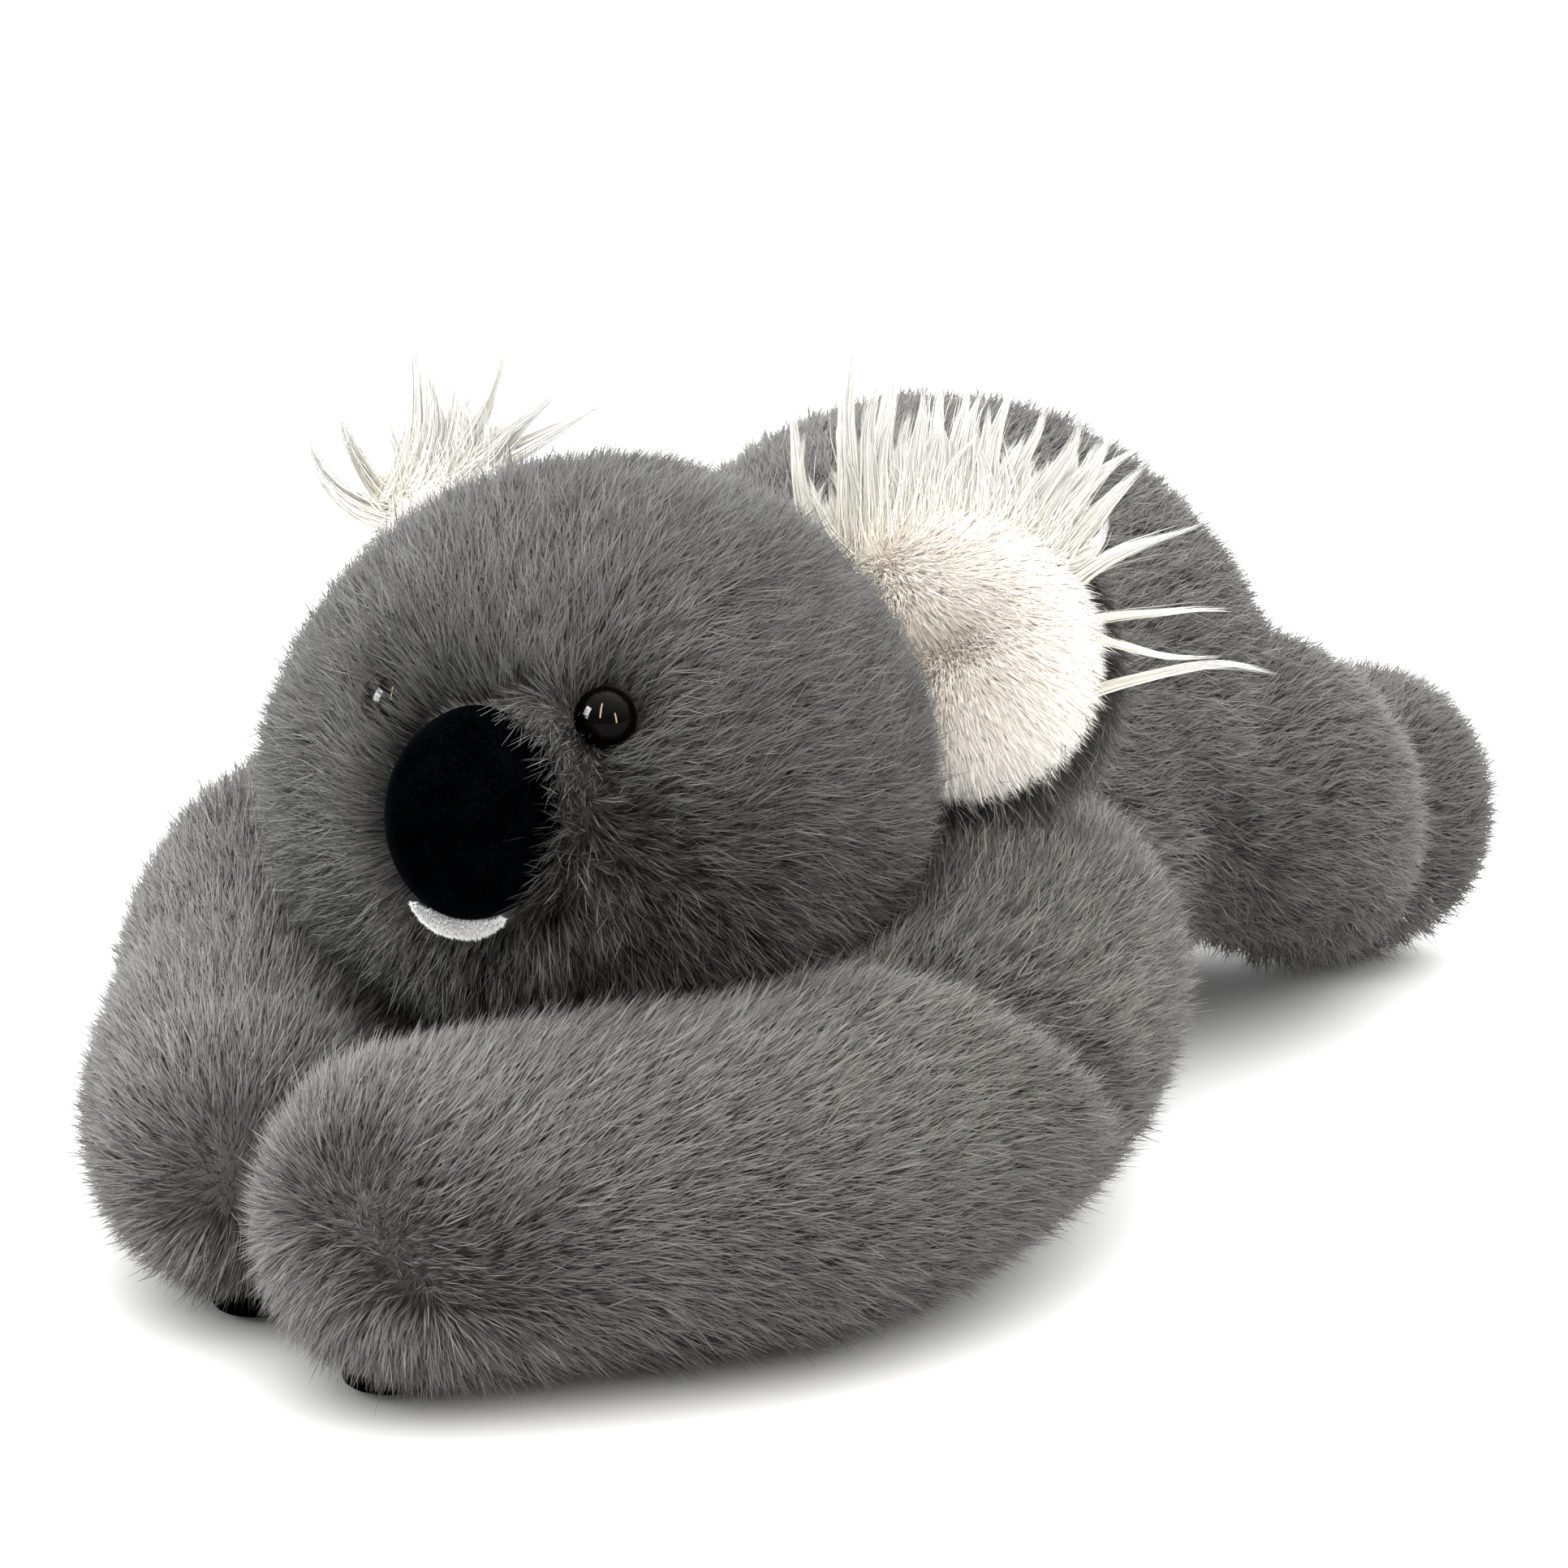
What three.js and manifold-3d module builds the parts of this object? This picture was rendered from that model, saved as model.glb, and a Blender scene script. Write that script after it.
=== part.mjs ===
// Plush koala lying on its belly, chin on its crossed front arms, hind legs tucked beside the rump.
// Millimetres, +Z up. It faces -Y and its own left side is +X.
// The origin lies on the floor under the middle of the belly.

import * as THREE from 'three';
import { mergeVertices } from 'three/addons/utils/BufferGeometryUtils.js';
import Module from 'manifold-3d';

const wasm = await Module();
wasm.setup();

// Fabric: the outer surface of each skin is the tip of its standing pile
const pileLength = 12;
const backingThickness = 1.2;
const skinWall = pileLength + backingThickness;
const seamGap = 0.3;
const floorSink = 0.5;
const cutOverrun = 4;
const mergeDistance = 0.0001;

// Trunk
const trunkLength = 160;
const trunkForward = 90;
const trunkWidth = 172;
const trunkHeight = 178;
const neckHoleRadius = 30;
// along the spine, belly lifted off the floor, width, height
const trunkShares = [
  [0, 0.10, 0.69, 0.82],
  [0.20, 0.03, 0.88, 0.95],
  [0.45, 0, 1, 1],
  [0.67, 0, 1, 0.97],
  [0.86, 0.01, 0.92, 0.84],
  [1, 0.02, 0.76, 0.66],
];

// Head, a rounded wedge with full cheeks low down
const headWidth = 156;
const faceDepth = 71;
const napeDepth = 92;
const headHeight = 138;
const headForward = 197;
const headLift = 120;
const headTurn = 0.13;
const cheekShare = 0.16;
const muzzleBulge = 5;
const muzzleSpread = 0.5;
const eyeDimple = 4;
const eyeDimpleSpread = 0.2;

// Front arms
const armThickness = 84;
const armSpan = 88;
const armReach = 200;
const armRoot = -81;
const shoulderRise = 20;
// out from the middle, forward from the shoulder, lift above lying on the floor, width, height
const leftArmShares = [
  [0.62, 0, 1, 0.92, 0.92],
  [0.88, 0.24, 0.80, 1, 1],
  [0.96, 0.48, 0.30, 1, 1],
  [0.80, 0.74, 0, 1, 1],
  [0.42, 0.94, 0, 0.98, 0.98],
  [0.13, 1.06, 0, 0.94, 0.94],
];
const rightArmShares = [
  [0.70, 0, 0.8, 0.97, 0.95],
  [1.06, 0.22, 0.8, 1.08, 1.03],
  [1.07, 0.46, 0.8, 1.05, 1.05],
  [0.88, 0.68, 0.18, 0.98, 1],
  [0.73, 0.84, 0, 0.94, 0.96],
  [0.60, 0.92, 0, 0.88, 0.90],
];
const armPadLength = 34;
const armPadWidth = 26;
const padThickness = 3;
const padAside = 6;

// Hind legs
const legThickness = 92;
const legSpan = 78;
const legReach = 112;
const legRoot = 10;
// out from the middle, back from the hip, lift, width, height
const legShares = [
  [0.72, 0, 0.34, 0.84, 0.84],
  [0.84, 0.28, 0.24, 1, 1],
  [0.84, 0.52, 0.10, 0.96, 1],
  [0.84, 0.72, 0.01, 0.84, 0.94],
  [0.91, 1, 0, 0.84, 0.94],
];

// Ears
const earWidth = 72;
const earHeight = 74;
const earBackThickness = 12;
const earLiningThickness = 10;
const earLiningShare = 0.88;
const earOut = 70;
const rightEarTuck = 18;
const earBehind = 60;
const earAbove = 14;
const liningRaise = 2.5;
const earTurn = 0.15;
const earLean = -0.15;
const tuftLength = 34;
const tuftRootThickness = 7;
const tuftTipThickness = 1.4;
const tuftLocks = 9;
const tuftStart = 0.5;
const tuftSweep = 1.75;
const tuftNotchShare = 0.6;

// Nose, a velvet pouch on the end of the muzzle
const noseWidth = 38;
const noseHeight = 47;
const noseStand = 22;
const nosePower = 2.6;
const noseDrop = -3;
const noseSeat = 9;
const noseFabric = 1.5;

// Lower lip
const lipThickness = 5.5;
const lipSweep = 1.4;
const lipStand = 9;
const lipClear = 1.5;
const lipGirthShares = [0.35, 0.8, 1, 1, 1, 0.8, 0.35];

// Eyes, buttons with a shank and a washer
const eyeDiameter = 14;
const eyeDome = 6;
const eyeAside = 29;
const eyeAbove = 25;
const eyeSeat = 2.5;
const shankDiameter = 4;
const shankSpare = 5;
const washerDiameter = 15;
const washerThickness = 1.6;
const washerSeat = 1;

// Facets
const trunkFacets = [12, 24];
const headFacets = [16, 24];
const limbFacets = [10, 16];
const stuffingFacets = [6, 12];
const lipFacets = [8, 8];
const domeFacets = [5, 20];
const domeSteps = 4;
const roundSides = 16;

const furGrey = new THREE.MeshStandardMaterial({ color: 0x6c6c68, roughness: 0.95, metalness: 0 });
const fillWhite = new THREE.MeshStandardMaterial({ color: 0xe9e9e4, roughness: 1, metalness: 0 });
const liningCream = new THREE.MeshStandardMaterial({ color: 0xe4dccf, roughness: 0.95, metalness: 0 });
const tuftWhite = new THREE.MeshStandardMaterial({ color: 0xece9e0, roughness: 0.9, metalness: 0 });
const velvetBlack = new THREE.MeshStandardMaterial({ color: 0x05070a, roughness: 0.85, metalness: 0 });
const lipWhite = new THREE.MeshStandardMaterial({ color: 0xd8dadb, roughness: 0.9, metalness: 0 });
const eyeGloss = new THREE.MeshStandardMaterial({ color: 0x0a0605, roughness: 0.08, metalness: 0 });
const washerPlastic = new THREE.MeshStandardMaterial({ color: 0xf0f0ec, roughness: 0.5, metalness: 0 });

const vector = (x, y, z) => new THREE.Vector3(x, y, z);

// A closed surface through a row of sections; the first and last may be a single pole point
function loft(sections) {
  const positions = [];
  const starts = [];
  for (const section of sections) {
    starts.push(positions.length / 3);
    for (const point of section) positions.push(point.x, point.y, point.z);
  }
  const index = [];
  for (let row = 0; row + 1 < sections.length; row += 1) {
    const near = sections[row].length;
    const far = sections[row + 1].length;
    const sides = Math.max(near, far);
    for (let side = 0; side < sides; side += 1) {
      const next = (side + 1) % sides;
      const a = starts[row] + (side % near);
      const b = starts[row] + (next % near);
      const c = starts[row + 1] + (side % far);
      const d = starts[row + 1] + (next % far);
      if (near > 1) index.push(a, b, c);
      if (far > 1) index.push(b, d, c);
    }
  }
  const last = sections.length - 1;
  for (let side = 1; side + 1 < sections[0].length; side += 1) {
    index.push(starts[0], starts[0] + side + 1, starts[0] + side);
  }
  for (let side = 1; side + 1 < sections[last].length; side += 1) {
    index.push(starts[last], starts[last] + side, starts[last] + side + 1);
  }
  const geometry = new THREE.BufferGeometry();
  geometry.setAttribute('position', new THREE.Float32BufferAttribute(positions, 3));
  geometry.setIndex(index);
  return geometry;
}

function solidOf(geometry, matrix = new THREE.Matrix4()) {
  const bare = geometry.clone().applyMatrix4(matrix);
  bare.deleteAttribute('normal');
  bare.deleteAttribute('uv');
  const merged = mergeVertices(bare, mergeDistance);
  const triangles = Array.from(merged.index.array);
  if (matrix.determinant() < 0) triangles.reverse();
  return new wasm.Manifold(new wasm.Mesh({
    numProp: 3,
    vertProperties: new Float32Array(merged.attributes.position.array),
    triVerts: new Uint32Array(triangles),
  }));
}

function geometryOf(solid) {
  const mesh = solid.getMesh();
  const geometry = new THREE.BufferGeometry();
  geometry.setAttribute('position', new THREE.Float32BufferAttribute(mesh.vertProperties, mesh.numProp));
  geometry.setIndex(new THREE.Uint32BufferAttribute(mesh.triVerts, 1));
  geometry.computeVertexNormals();
  return geometry;
}

// A stuffed tube: upright elliptical sections along a smooth line, closed by rounded ends
function stuffedForm(stations, [rings, sides], inset = 0) {
  const line = new THREE.CatmullRomCurve3(stations.map((station) => station.at), false, 'catmullrom');
  const girths = new THREE.CatmullRomCurve3(
    stations.map((station) => vector(station.halfWidth, station.halfHeight, 0)), false, 'catmullrom');
  const capRings = Math.round(sides / 4);
  const section = (share, capAngle, capSign) => {
    const girth = girths.getPoint(share);
    const forward = line.getTangent(share).setZ(0).normalize();
    const upward = vector(0, 0, 1);
    const aside = upward.clone().cross(forward);
    const reach = (girth.x + girth.y) / 2 - inset;
    const middle = line.getPoint(share).addScaledVector(forward, capSign * reach * Math.sin(capAngle));
    if (capAngle === Math.PI / 2) return [middle];
    const width = (girth.x - inset) * Math.cos(capAngle);
    const height = (girth.y - inset) * Math.cos(capAngle);
    return Array.from({ length: sides }, (_, side) => {
      const turn = (side / sides) * 2 * Math.PI;
      return middle.clone()
        .addScaledVector(aside, width * Math.cos(turn))
        .addScaledVector(upward, height * Math.sin(turn));
    });
  };
  const sections = [];
  for (let ring = 0; ring < capRings; ring += 1) {
    sections.push(section(0, (1 - ring / capRings) * Math.PI / 2, -1));
  }
  for (let ring = 0; ring <= rings; ring += 1) sections.push(section(ring / rings, 0, 1));
  for (let ring = 1; ring <= capRings; ring += 1) {
    sections.push(section(1, (ring / capRings) * Math.PI / 2, 1));
  }
  return loft(sections);
}

// The head: an ellipsoid narrowed upwards, with a muzzle swelling and two dimples for the eyes
const headPose = new THREE.Matrix4().makeRotationZ(headTurn).setPosition(0, -headForward, headLift);
const noseDirection = vector(0, -faceDepth, -noseDrop).normalize();
const eyeDirection = (side) => vector(side * eyeAside, -Math.sqrt(
  faceDepth ** 2 - eyeAside ** 2 - eyeAbove ** 2), eyeAbove).normalize();
const headFeatures = [
  [noseDirection, muzzleBulge, muzzleSpread],
  [eyeDirection(1), -eyeDimple, eyeDimpleSpread],
  [eyeDirection(-1), -eyeDimple, eyeDimpleSpread],
];

function headPoint(direction, inset = 0) {
  const half = vector(headWidth / 2, direction.y < 0 ? faceDepth : napeDepth, headHeight / 2);
  let reach = 1 / direction.clone().divide(half).length() - inset;
  for (const [towards, height, spread] of headFeatures) {
    reach += height * Math.exp(-((direction.angleTo(towards) / spread) ** 2));
  }
  const point = direction.clone().multiplyScalar(reach);
  point.x *= 1 - cheekShare * point.z / half.z;
  return point;
}

function headForm([rings, sides], inset = 0) {
  const sections = [];
  for (let ring = 0; ring <= rings; ring += 1) {
    const polar = (ring / rings) * Math.PI;
    const count = ring === 0 || ring === rings ? 1 : sides;
    sections.push(Array.from({ length: count }, (_, side) => {
      const turn = (side / sides) * 2 * Math.PI;
      const across = Math.sin(polar) * Math.cos(turn);
      const upward = Math.sin(polar) * Math.sin(turn);
      return headPoint(vector(-across, -Math.cos(polar), upward), inset);
    }));
  }
  return loft(sections);
}

// A frame on the head's surface: its z axis stands out of the fur, its y axis runs up the face
function faceFrame(direction, depth) {
  const step = Math.PI / 360;
  const at = headPoint(direction);
  const level = vector(0, 0, 1).cross(direction).normalize();
  const aside = headPoint(direction.clone().applyAxisAngle(vector(0, 0, 1), step)).sub(at);
  const above = headPoint(direction.clone().applyAxisAngle(level, -step)).sub(at);
  const outward = aside.cross(above).normalize();
  if (outward.dot(direction) < 0) outward.negate();
  const right = vector(0, 0, 1).cross(outward).normalize();
  const up = outward.clone().cross(right);
  const matrix = new THREE.Matrix4().makeBasis(right, up, outward);
  return matrix.setPosition(at.addScaledVector(outward, -depth));
}

// A flat-backed cushion: an oval outline, domed on its front by a power curve
function domedOval(width, height, stand, [rings, sides], power = 2, behind = 0) {
  const oval = (share, level) => Array.from({ length: sides }, (_, side) => {
    const turn = (side / sides) * 2 * Math.PI;
    return vector(share * width * Math.cos(turn) / 2, share * height * Math.sin(turn) / 2, level);
  });
  const sections = [[vector(0, 0, -behind)], oval(1, -behind)];
  if (behind > 0) sections.push(oval(1, 0));
  for (let ring = 1; ring < rings; ring += 1) {
    const angle = (ring / rings) * Math.PI / 2;
    sections.push(oval(Math.cos(angle) ** (2 / power), stand * Math.sin(angle) ** (2 / power)));
  }
  sections.push([vector(0, 0, stand)]);
  return loft(sections);
}

const mirror = new THREE.Matrix4().makeScale(-1, 1, 1);
const onHead = (side, local) => headPose.clone()
  .multiply(side < 0 ? mirror : new THREE.Matrix4())
  .multiply(local);
const sides = [['left', 1], ['right', -1]];

const koala = new THREE.Group();

function add(name, solid, material) {
  const mesh = new THREE.Mesh(geometryOf(solid), material);
  mesh.name = name;
  koala.add(mesh);
}

const floorSpread = 4 * (trunkLength + armReach + legReach);
const floorBlock = solidOf(new THREE.BoxGeometry(floorSpread, floorSpread, trunkHeight)
  .translate(0, 0, -trunkHeight / 2));

// Trunk: one skin, open at the neck where the filling goes through to the head
const trunkStations = trunkShares.map(([along, lift, width, height]) => {
  const halfHeight = height * trunkHeight / 2;
  const rise = halfHeight - floorSink + lift * trunkHeight;
  return {
    at: vector(0, along * trunkLength - trunkForward, rise),
    halfWidth: width * trunkWidth / 2,
    halfHeight,
  };
});
const trunkOuter = solidOf(stuffedForm(trunkStations, trunkFacets)).subtract(floorBlock);
const trunkGrown = solidOf(stuffedForm(trunkStations, trunkFacets, -seamGap));
const neckPlug = (radius) => solidOf(new THREE.CylinderGeometry(radius, radius, trunkLength, roundSides)
  .translate(0, -trunkLength / 2, 0), new THREE.Matrix4().setPosition(trunkStations[0].at));
const trunkCavity = solidOf(stuffedForm(trunkStations, stuffingFacets, skinWall));
const trunkFilling = solidOf(stuffedForm(trunkStations, stuffingFacets, skinWall + seamGap));
add('body_skin', trunkOuter.subtract(trunkCavity).subtract(neckPlug(neckHoleRadius)), furGrey);
add('body_stuffing', trunkFilling.add(neckPlug(neckHoleRadius - seamGap).intersect(trunkOuter)), fillWhite);

// Head, sewn to the trunk round the neck
let headSkin = solidOf(headForm(headFacets), headPose).subtract(solidOf(headForm(stuffingFacets, skinWall), headPose));
headSkin = headSkin.subtract(trunkGrown);
let headFilling = solidOf(headForm(stuffingFacets, skinWall + seamGap), headPose).subtract(trunkGrown);
const headGrown = solidOf(headForm(headFacets, -seamGap), headPose);

// Nose: a velvet pouch over its own padding, standing in a hollow of the muzzle
const noseFrame = onHead(1, faceFrame(noseDirection, noseSeat));
const nosePouch = (grow, behind) => solidOf(domedOval(
  noseWidth + 2 * grow, noseHeight + 2 * grow, noseStand + grow, domeFacets, nosePower, behind), noseFrame);
const noseGrown = nosePouch(seamGap, seamGap);
add('nose_cover', nosePouch(0, 0).subtract(nosePouch(-noseFabric, cutOverrun)), velvetBlack);
add('nose_padding', nosePouch(-noseFabric - seamGap, 0), fillWhite);

// Lower lip: a white crescent hugging the underside of the nose
const lipStations = lipGirthShares.map((girth, index) => {
  const angle = (index / (lipGirthShares.length - 1) - 0.5) * lipSweep - Math.PI / 2;
  const half = girth * lipThickness / 2;
  return {
    at: vector((noseWidth / 2 + lipClear) * Math.cos(angle), (noseHeight / 2 + lipClear) * Math.sin(angle), lipStand),
    halfWidth: half,
    halfHeight: half,
  };
});
const lip = (grow) => solidOf(stuffedForm(lipStations, lipFacets, -grow), noseFrame);
add('lower_lip', lip(0).subtract(noseGrown), lipWhite);
headSkin = headSkin.subtract(noseGrown).subtract(lip(seamGap));

// Eyes: a domed button with a shank through the skin, held by a washer inside
const eyeFrame = faceFrame(eyeDirection(1), eyeSeat);
const shankLength = skinWall - eyeSeat + washerThickness + shankSpare;
const washerTop = eyeSeat + washerSeat - skinWall;
function eyeButton(grow) {
  const profile = [
    new THREE.Vector2(0, -shankLength - grow),
    new THREE.Vector2(shankDiameter / 2 + grow, -shankLength - grow),
    new THREE.Vector2(shankDiameter / 2 + grow, -grow),
    new THREE.Vector2(eyeDiameter / 2 + grow, -grow),
  ];
  for (let step = 1; step <= domeSteps; step += 1) {
    const angle = (step / domeSteps) * Math.PI / 2;
    profile.push(new THREE.Vector2(
      step === domeSteps ? 0 : (eyeDiameter / 2 + grow) * Math.cos(angle), (eyeDome + grow) * Math.sin(angle)));
  }
  return new THREE.LatheGeometry(profile, roundSides).rotateX(Math.PI / 2);
}
function eyeWasher(grow, bore) {
  const outer = washerDiameter / 2 + grow;
  const profile = [
    new THREE.Vector2(bore, washerTop - washerThickness - grow),
    new THREE.Vector2(outer, washerTop - washerThickness - grow),
    new THREE.Vector2(outer, washerTop + grow),
    new THREE.Vector2(bore, washerTop + grow),
    new THREE.Vector2(bore, washerTop - washerThickness - grow),
  ];
  return new THREE.LatheGeometry(profile, roundSides).rotateX(Math.PI / 2);
}
for (const [word, side] of sides) {
  const frame = onHead(side, eyeFrame);
  add(`${word}_eye`, solidOf(eyeButton(0), frame), eyeGloss);
  add(`${word}_eye_washer`, solidOf(eyeWasher(0, shankDiameter / 2 + seamGap), frame), washerPlastic);
  const button = solidOf(eyeButton(seamGap), frame);
  const pocket = button.add(solidOf(eyeWasher(seamGap, shankDiameter / 2), frame));
  headSkin = headSkin.subtract(pocket);
  headFilling = headFilling.subtract(pocket);
}
add('head_skin', headSkin, furGrey);
add('head_stuffing', headFilling, fillWhite);

// Front arms and hind legs: tapered tubes sewn to the trunk, the arms with a velvet pad under each paw
function limbStations(side, shares, limb) {
  return shares.map(([out, along, lift, width, height]) => {
    const halfHeight = height * limb.thickness / 2;
    const rise = halfHeight - floorSink + lift * limb.rise;
    return {
      at: vector(side * out * limb.span, limb.root + along * limb.reach, rise),
      halfWidth: width * limb.thickness / 2,
      halfHeight,
    };
  });
}
const arm = { thickness: armThickness, span: armSpan, reach: -armReach, root: armRoot, rise: shoulderRise };
const leg = { thickness: legThickness, span: legSpan, reach: legReach, root: legRoot, rise: legThickness };
const neighbours = trunkGrown.add(headGrown);
const leftArmLine = limbStations(1, leftArmShares, arm);
const leftArmGrown = solidOf(stuffedForm(leftArmLine, limbFacets, -seamGap));
for (const [word, side] of sides) {
  const armLine = side > 0 ? leftArmLine : limbStations(side, rightArmShares, arm);
  const armBounds = side > 0 ? neighbours : neighbours.add(leftArmGrown);
  const armOuter = solidOf(stuffedForm(armLine, limbFacets)).subtract(armBounds);
  const paw = armLine[armLine.length - 1].at;
  const padDisc = (grow) => {
    const halfWidth = armPadWidth / 2 + grow;
    return solidOf(new THREE.CylinderGeometry(halfWidth, halfWidth, 2 * (padThickness + grow), roundSides)
      .rotateX(Math.PI / 2)
      .scale(1, (armPadLength / 2 + grow) / halfWidth, 1)
      .translate(paw.x - side * padAside, paw.y, 0));
  };
  const armSkin = armOuter
    .subtract(solidOf(stuffedForm(armLine, stuffingFacets, skinWall)))
    .subtract(padDisc(seamGap));
  const armFilling = solidOf(stuffedForm(armLine, stuffingFacets, skinWall + seamGap));
  add(`${word}_arm_skin`, armSkin.subtract(floorBlock), furGrey);
  add(`${word}_arm_stuffing`, armFilling.subtract(armBounds), fillWhite);
  add(`${word}_paw_pad`, armOuter.intersect(padDisc(0)).subtract(floorBlock), velvetBlack);

  const legLine = limbStations(side, legShares, leg);
  const legSkin = solidOf(stuffedForm(legLine, limbFacets))
    .subtract(solidOf(stuffedForm(legLine, stuffingFacets, skinWall)));
  const legFilling = solidOf(stuffedForm(legLine, stuffingFacets, skinWall + seamGap));
  add(`${word}_leg_skin`, legSkin.subtract(neighbours).subtract(floorBlock), furGrey);
  add(`${word}_leg_stuffing`, legFilling.subtract(neighbours), fillWhite);
}

// Ears: a grey back, a cream lining and a strip of long white pile round the outer rim
const earFrame = (tuck) => new THREE.Matrix4()
  .makeBasis(vector(1, 0, 0), vector(0, 0, 1), vector(0, -1, 0))
  .premultiply(new THREE.Matrix4().makeRotationX(earLean))
  .premultiply(new THREE.Matrix4().makeRotationZ(earTurn))
  .setPosition(earOut - tuck, earBehind, earAbove);
const rimPoint = (angle, beyond, level) => vector(
  (earWidth / 2 + beyond) * Math.cos(angle), (earHeight / 2 + beyond) * Math.sin(angle), level);
function tuftForm() {
  const steps = 2 * tuftLocks;
  return loft(Array.from({ length: steps + 1 }, (_, step) => {
    const angle = tuftStart + (step / steps) * tuftSweep;
    const reach = tuftLength * (step % 2 === 1 ? 1 : tuftNotchShare);
    return [
      rimPoint(angle, seamGap, -tuftRootThickness / 2),
      rimPoint(angle, seamGap, tuftRootThickness / 2),
      rimPoint(angle, reach, tuftTipThickness / 2),
      rimPoint(angle, reach, -tuftTipThickness / 2),
    ];
  }));
}
for (const [word, side] of sides) {
  const frame = onHead(side, earFrame(side > 0 ? 0 : rightEarTuck));
  const turned = frame.clone().multiply(new THREE.Matrix4().makeRotationY(Math.PI));
  const lifted = frame.clone().multiply(new THREE.Matrix4().makeTranslation(0, liningRaise, seamGap));
  const back = solidOf(domedOval(earWidth, earHeight, earBackThickness, domeFacets), turned);
  const lining = solidOf(domedOval(
    earLiningShare * earWidth, earLiningShare * earHeight, earLiningThickness, domeFacets), lifted);
  add(`${word}_ear_back`, back.subtract(headGrown).subtract(trunkGrown), furGrey);
  add(`${word}_ear_lining`, lining.subtract(headGrown), liningCream);
  add(`${word}_ear_tuft`, solidOf(tuftForm(), frame).subtract(headGrown), tuftWhite);
}

export default koala;
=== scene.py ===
# A grey plush koala lying on its belly: the looks of each piece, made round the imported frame.
# Metres, +Z up. It faces -Y and its own left side is +X.
import math

import bpy
import numpy as np
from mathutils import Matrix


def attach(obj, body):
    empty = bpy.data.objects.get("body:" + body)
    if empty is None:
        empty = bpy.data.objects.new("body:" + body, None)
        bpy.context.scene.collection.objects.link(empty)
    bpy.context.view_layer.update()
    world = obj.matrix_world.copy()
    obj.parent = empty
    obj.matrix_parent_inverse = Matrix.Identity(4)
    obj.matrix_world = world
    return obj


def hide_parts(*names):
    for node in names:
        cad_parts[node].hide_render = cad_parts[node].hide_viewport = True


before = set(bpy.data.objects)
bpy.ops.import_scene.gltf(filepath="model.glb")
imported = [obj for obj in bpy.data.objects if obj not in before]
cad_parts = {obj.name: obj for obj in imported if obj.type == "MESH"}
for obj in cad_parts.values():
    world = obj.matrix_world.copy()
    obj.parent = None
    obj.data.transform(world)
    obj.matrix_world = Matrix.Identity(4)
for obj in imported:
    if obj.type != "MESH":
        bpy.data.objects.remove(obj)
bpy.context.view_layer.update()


# Body: one stuffed skin of grey long-pile plush, widest at the hips, narrower at the neck.
# The skin is a woven backing; the standing pile on it is brushed from the neck to the rump.
BACKING_DEPTH = 0.009
FLOOR_SINK = 0.0005
BODY_ROWS = [
    (0, 0, 0.10, 0.69, 0.82),
    (0, 0.20, 0.03, 0.88, 0.95),
    (0, 0.45, 0, 1, 1),
    (0, 0.67, 0, 1, 0.97),
    (0, 0.86, 0.01, 0.92, 0.84),
    (0, 1, 0.02, 0.76, 0.66),
]
BODY_SIZES = dict(span=0, root=-0.090, reach=0.160, wide=0.172, tall=0.178, rise=0.178)


def laid_out(rows, span, root, reach, wide, tall, rise):
    """Centres and half sizes of a form that lies on the floor. Each row gives shares: out to the side, along,
    lift, width and height. A centre's height is its half height, less the sink, plus the lift."""
    out, along, lift, width, height = np.array(rows, float).T
    halves = np.stack([width * wide / 2, height * tall / 2], 1)
    centres = np.stack([out * span, root + along * reach, halves[:, 1] - FLOOR_SINK + lift * rise], 1)
    return centres, halves


def smooth_line(knots, share):
    """The Catmull-Rom line through the knots: on each span a cubic whose slope at a knot is half the chord
    between its neighbours. Each end has a mirrored extra knot, and share counts the spans evenly from 0 to 1."""
    knots = np.vstack([2 * knots[0] - knots[1], knots, 2 * knots[-1] - knots[-2]])
    place = share * (len(knots) - 3)
    span = np.minimum(place.astype(int), len(knots) - 4)
    w = (place - span)[:, None]
    before, start, end, after = (knots[span + k] for k in range(4))
    slopes = (end - before) / 2, (after - start) / 2
    ends = (2 * w**3 - 3 * w**2 + 1) * start + (3 * w**2 - 2 * w**3) * end
    return ends + (w**3 - 2 * w**2 + w) * slopes[0] + (w**3 - w**2) * slopes[1]


def stuffed(centres, halves):
    """The surface of a stuffed tube. along runs from -1, the rear pole, through 0 to 1, the tube, to 2, the front
    pole; turn goes round it. A point is the line's centre, plus forward times reach times the sine of the cap
    angle, plus the cosine of it times the upright ellipse of the half sizes less the depth under the pile tips."""
    def surface(along, turn, depth=0.0):
        share = np.clip(along, 0, 1)
        cap = (np.clip(along, -1, 0) + np.clip(along - 1, 0, 1)) * math.pi / 2
        step = 1e-4
        behind, ahead = np.maximum(share - step, 0), np.minimum(share + step, 1)
        forward = smooth_line(centres, ahead) - smooth_line(centres, behind)
        forward[:, 2] = 0
        forward /= np.linalg.norm(forward, axis=1)[:, None]
        aside = np.stack([-forward[:, 1], forward[:, 0], np.zeros(len(forward))], 1)
        half = smooth_line(halves, share)
        reach = half.mean(1) - depth
        point = smooth_line(centres, share) + forward * (reach * np.sin(cap))[:, None]
        point += aside * ((half[:, 0] - depth) * np.cos(cap) * np.cos(turn))[:, None]
        point[:, 2] += (half[:, 1] - depth) * np.cos(cap) * np.sin(turn)
        return point
    return surface


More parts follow.
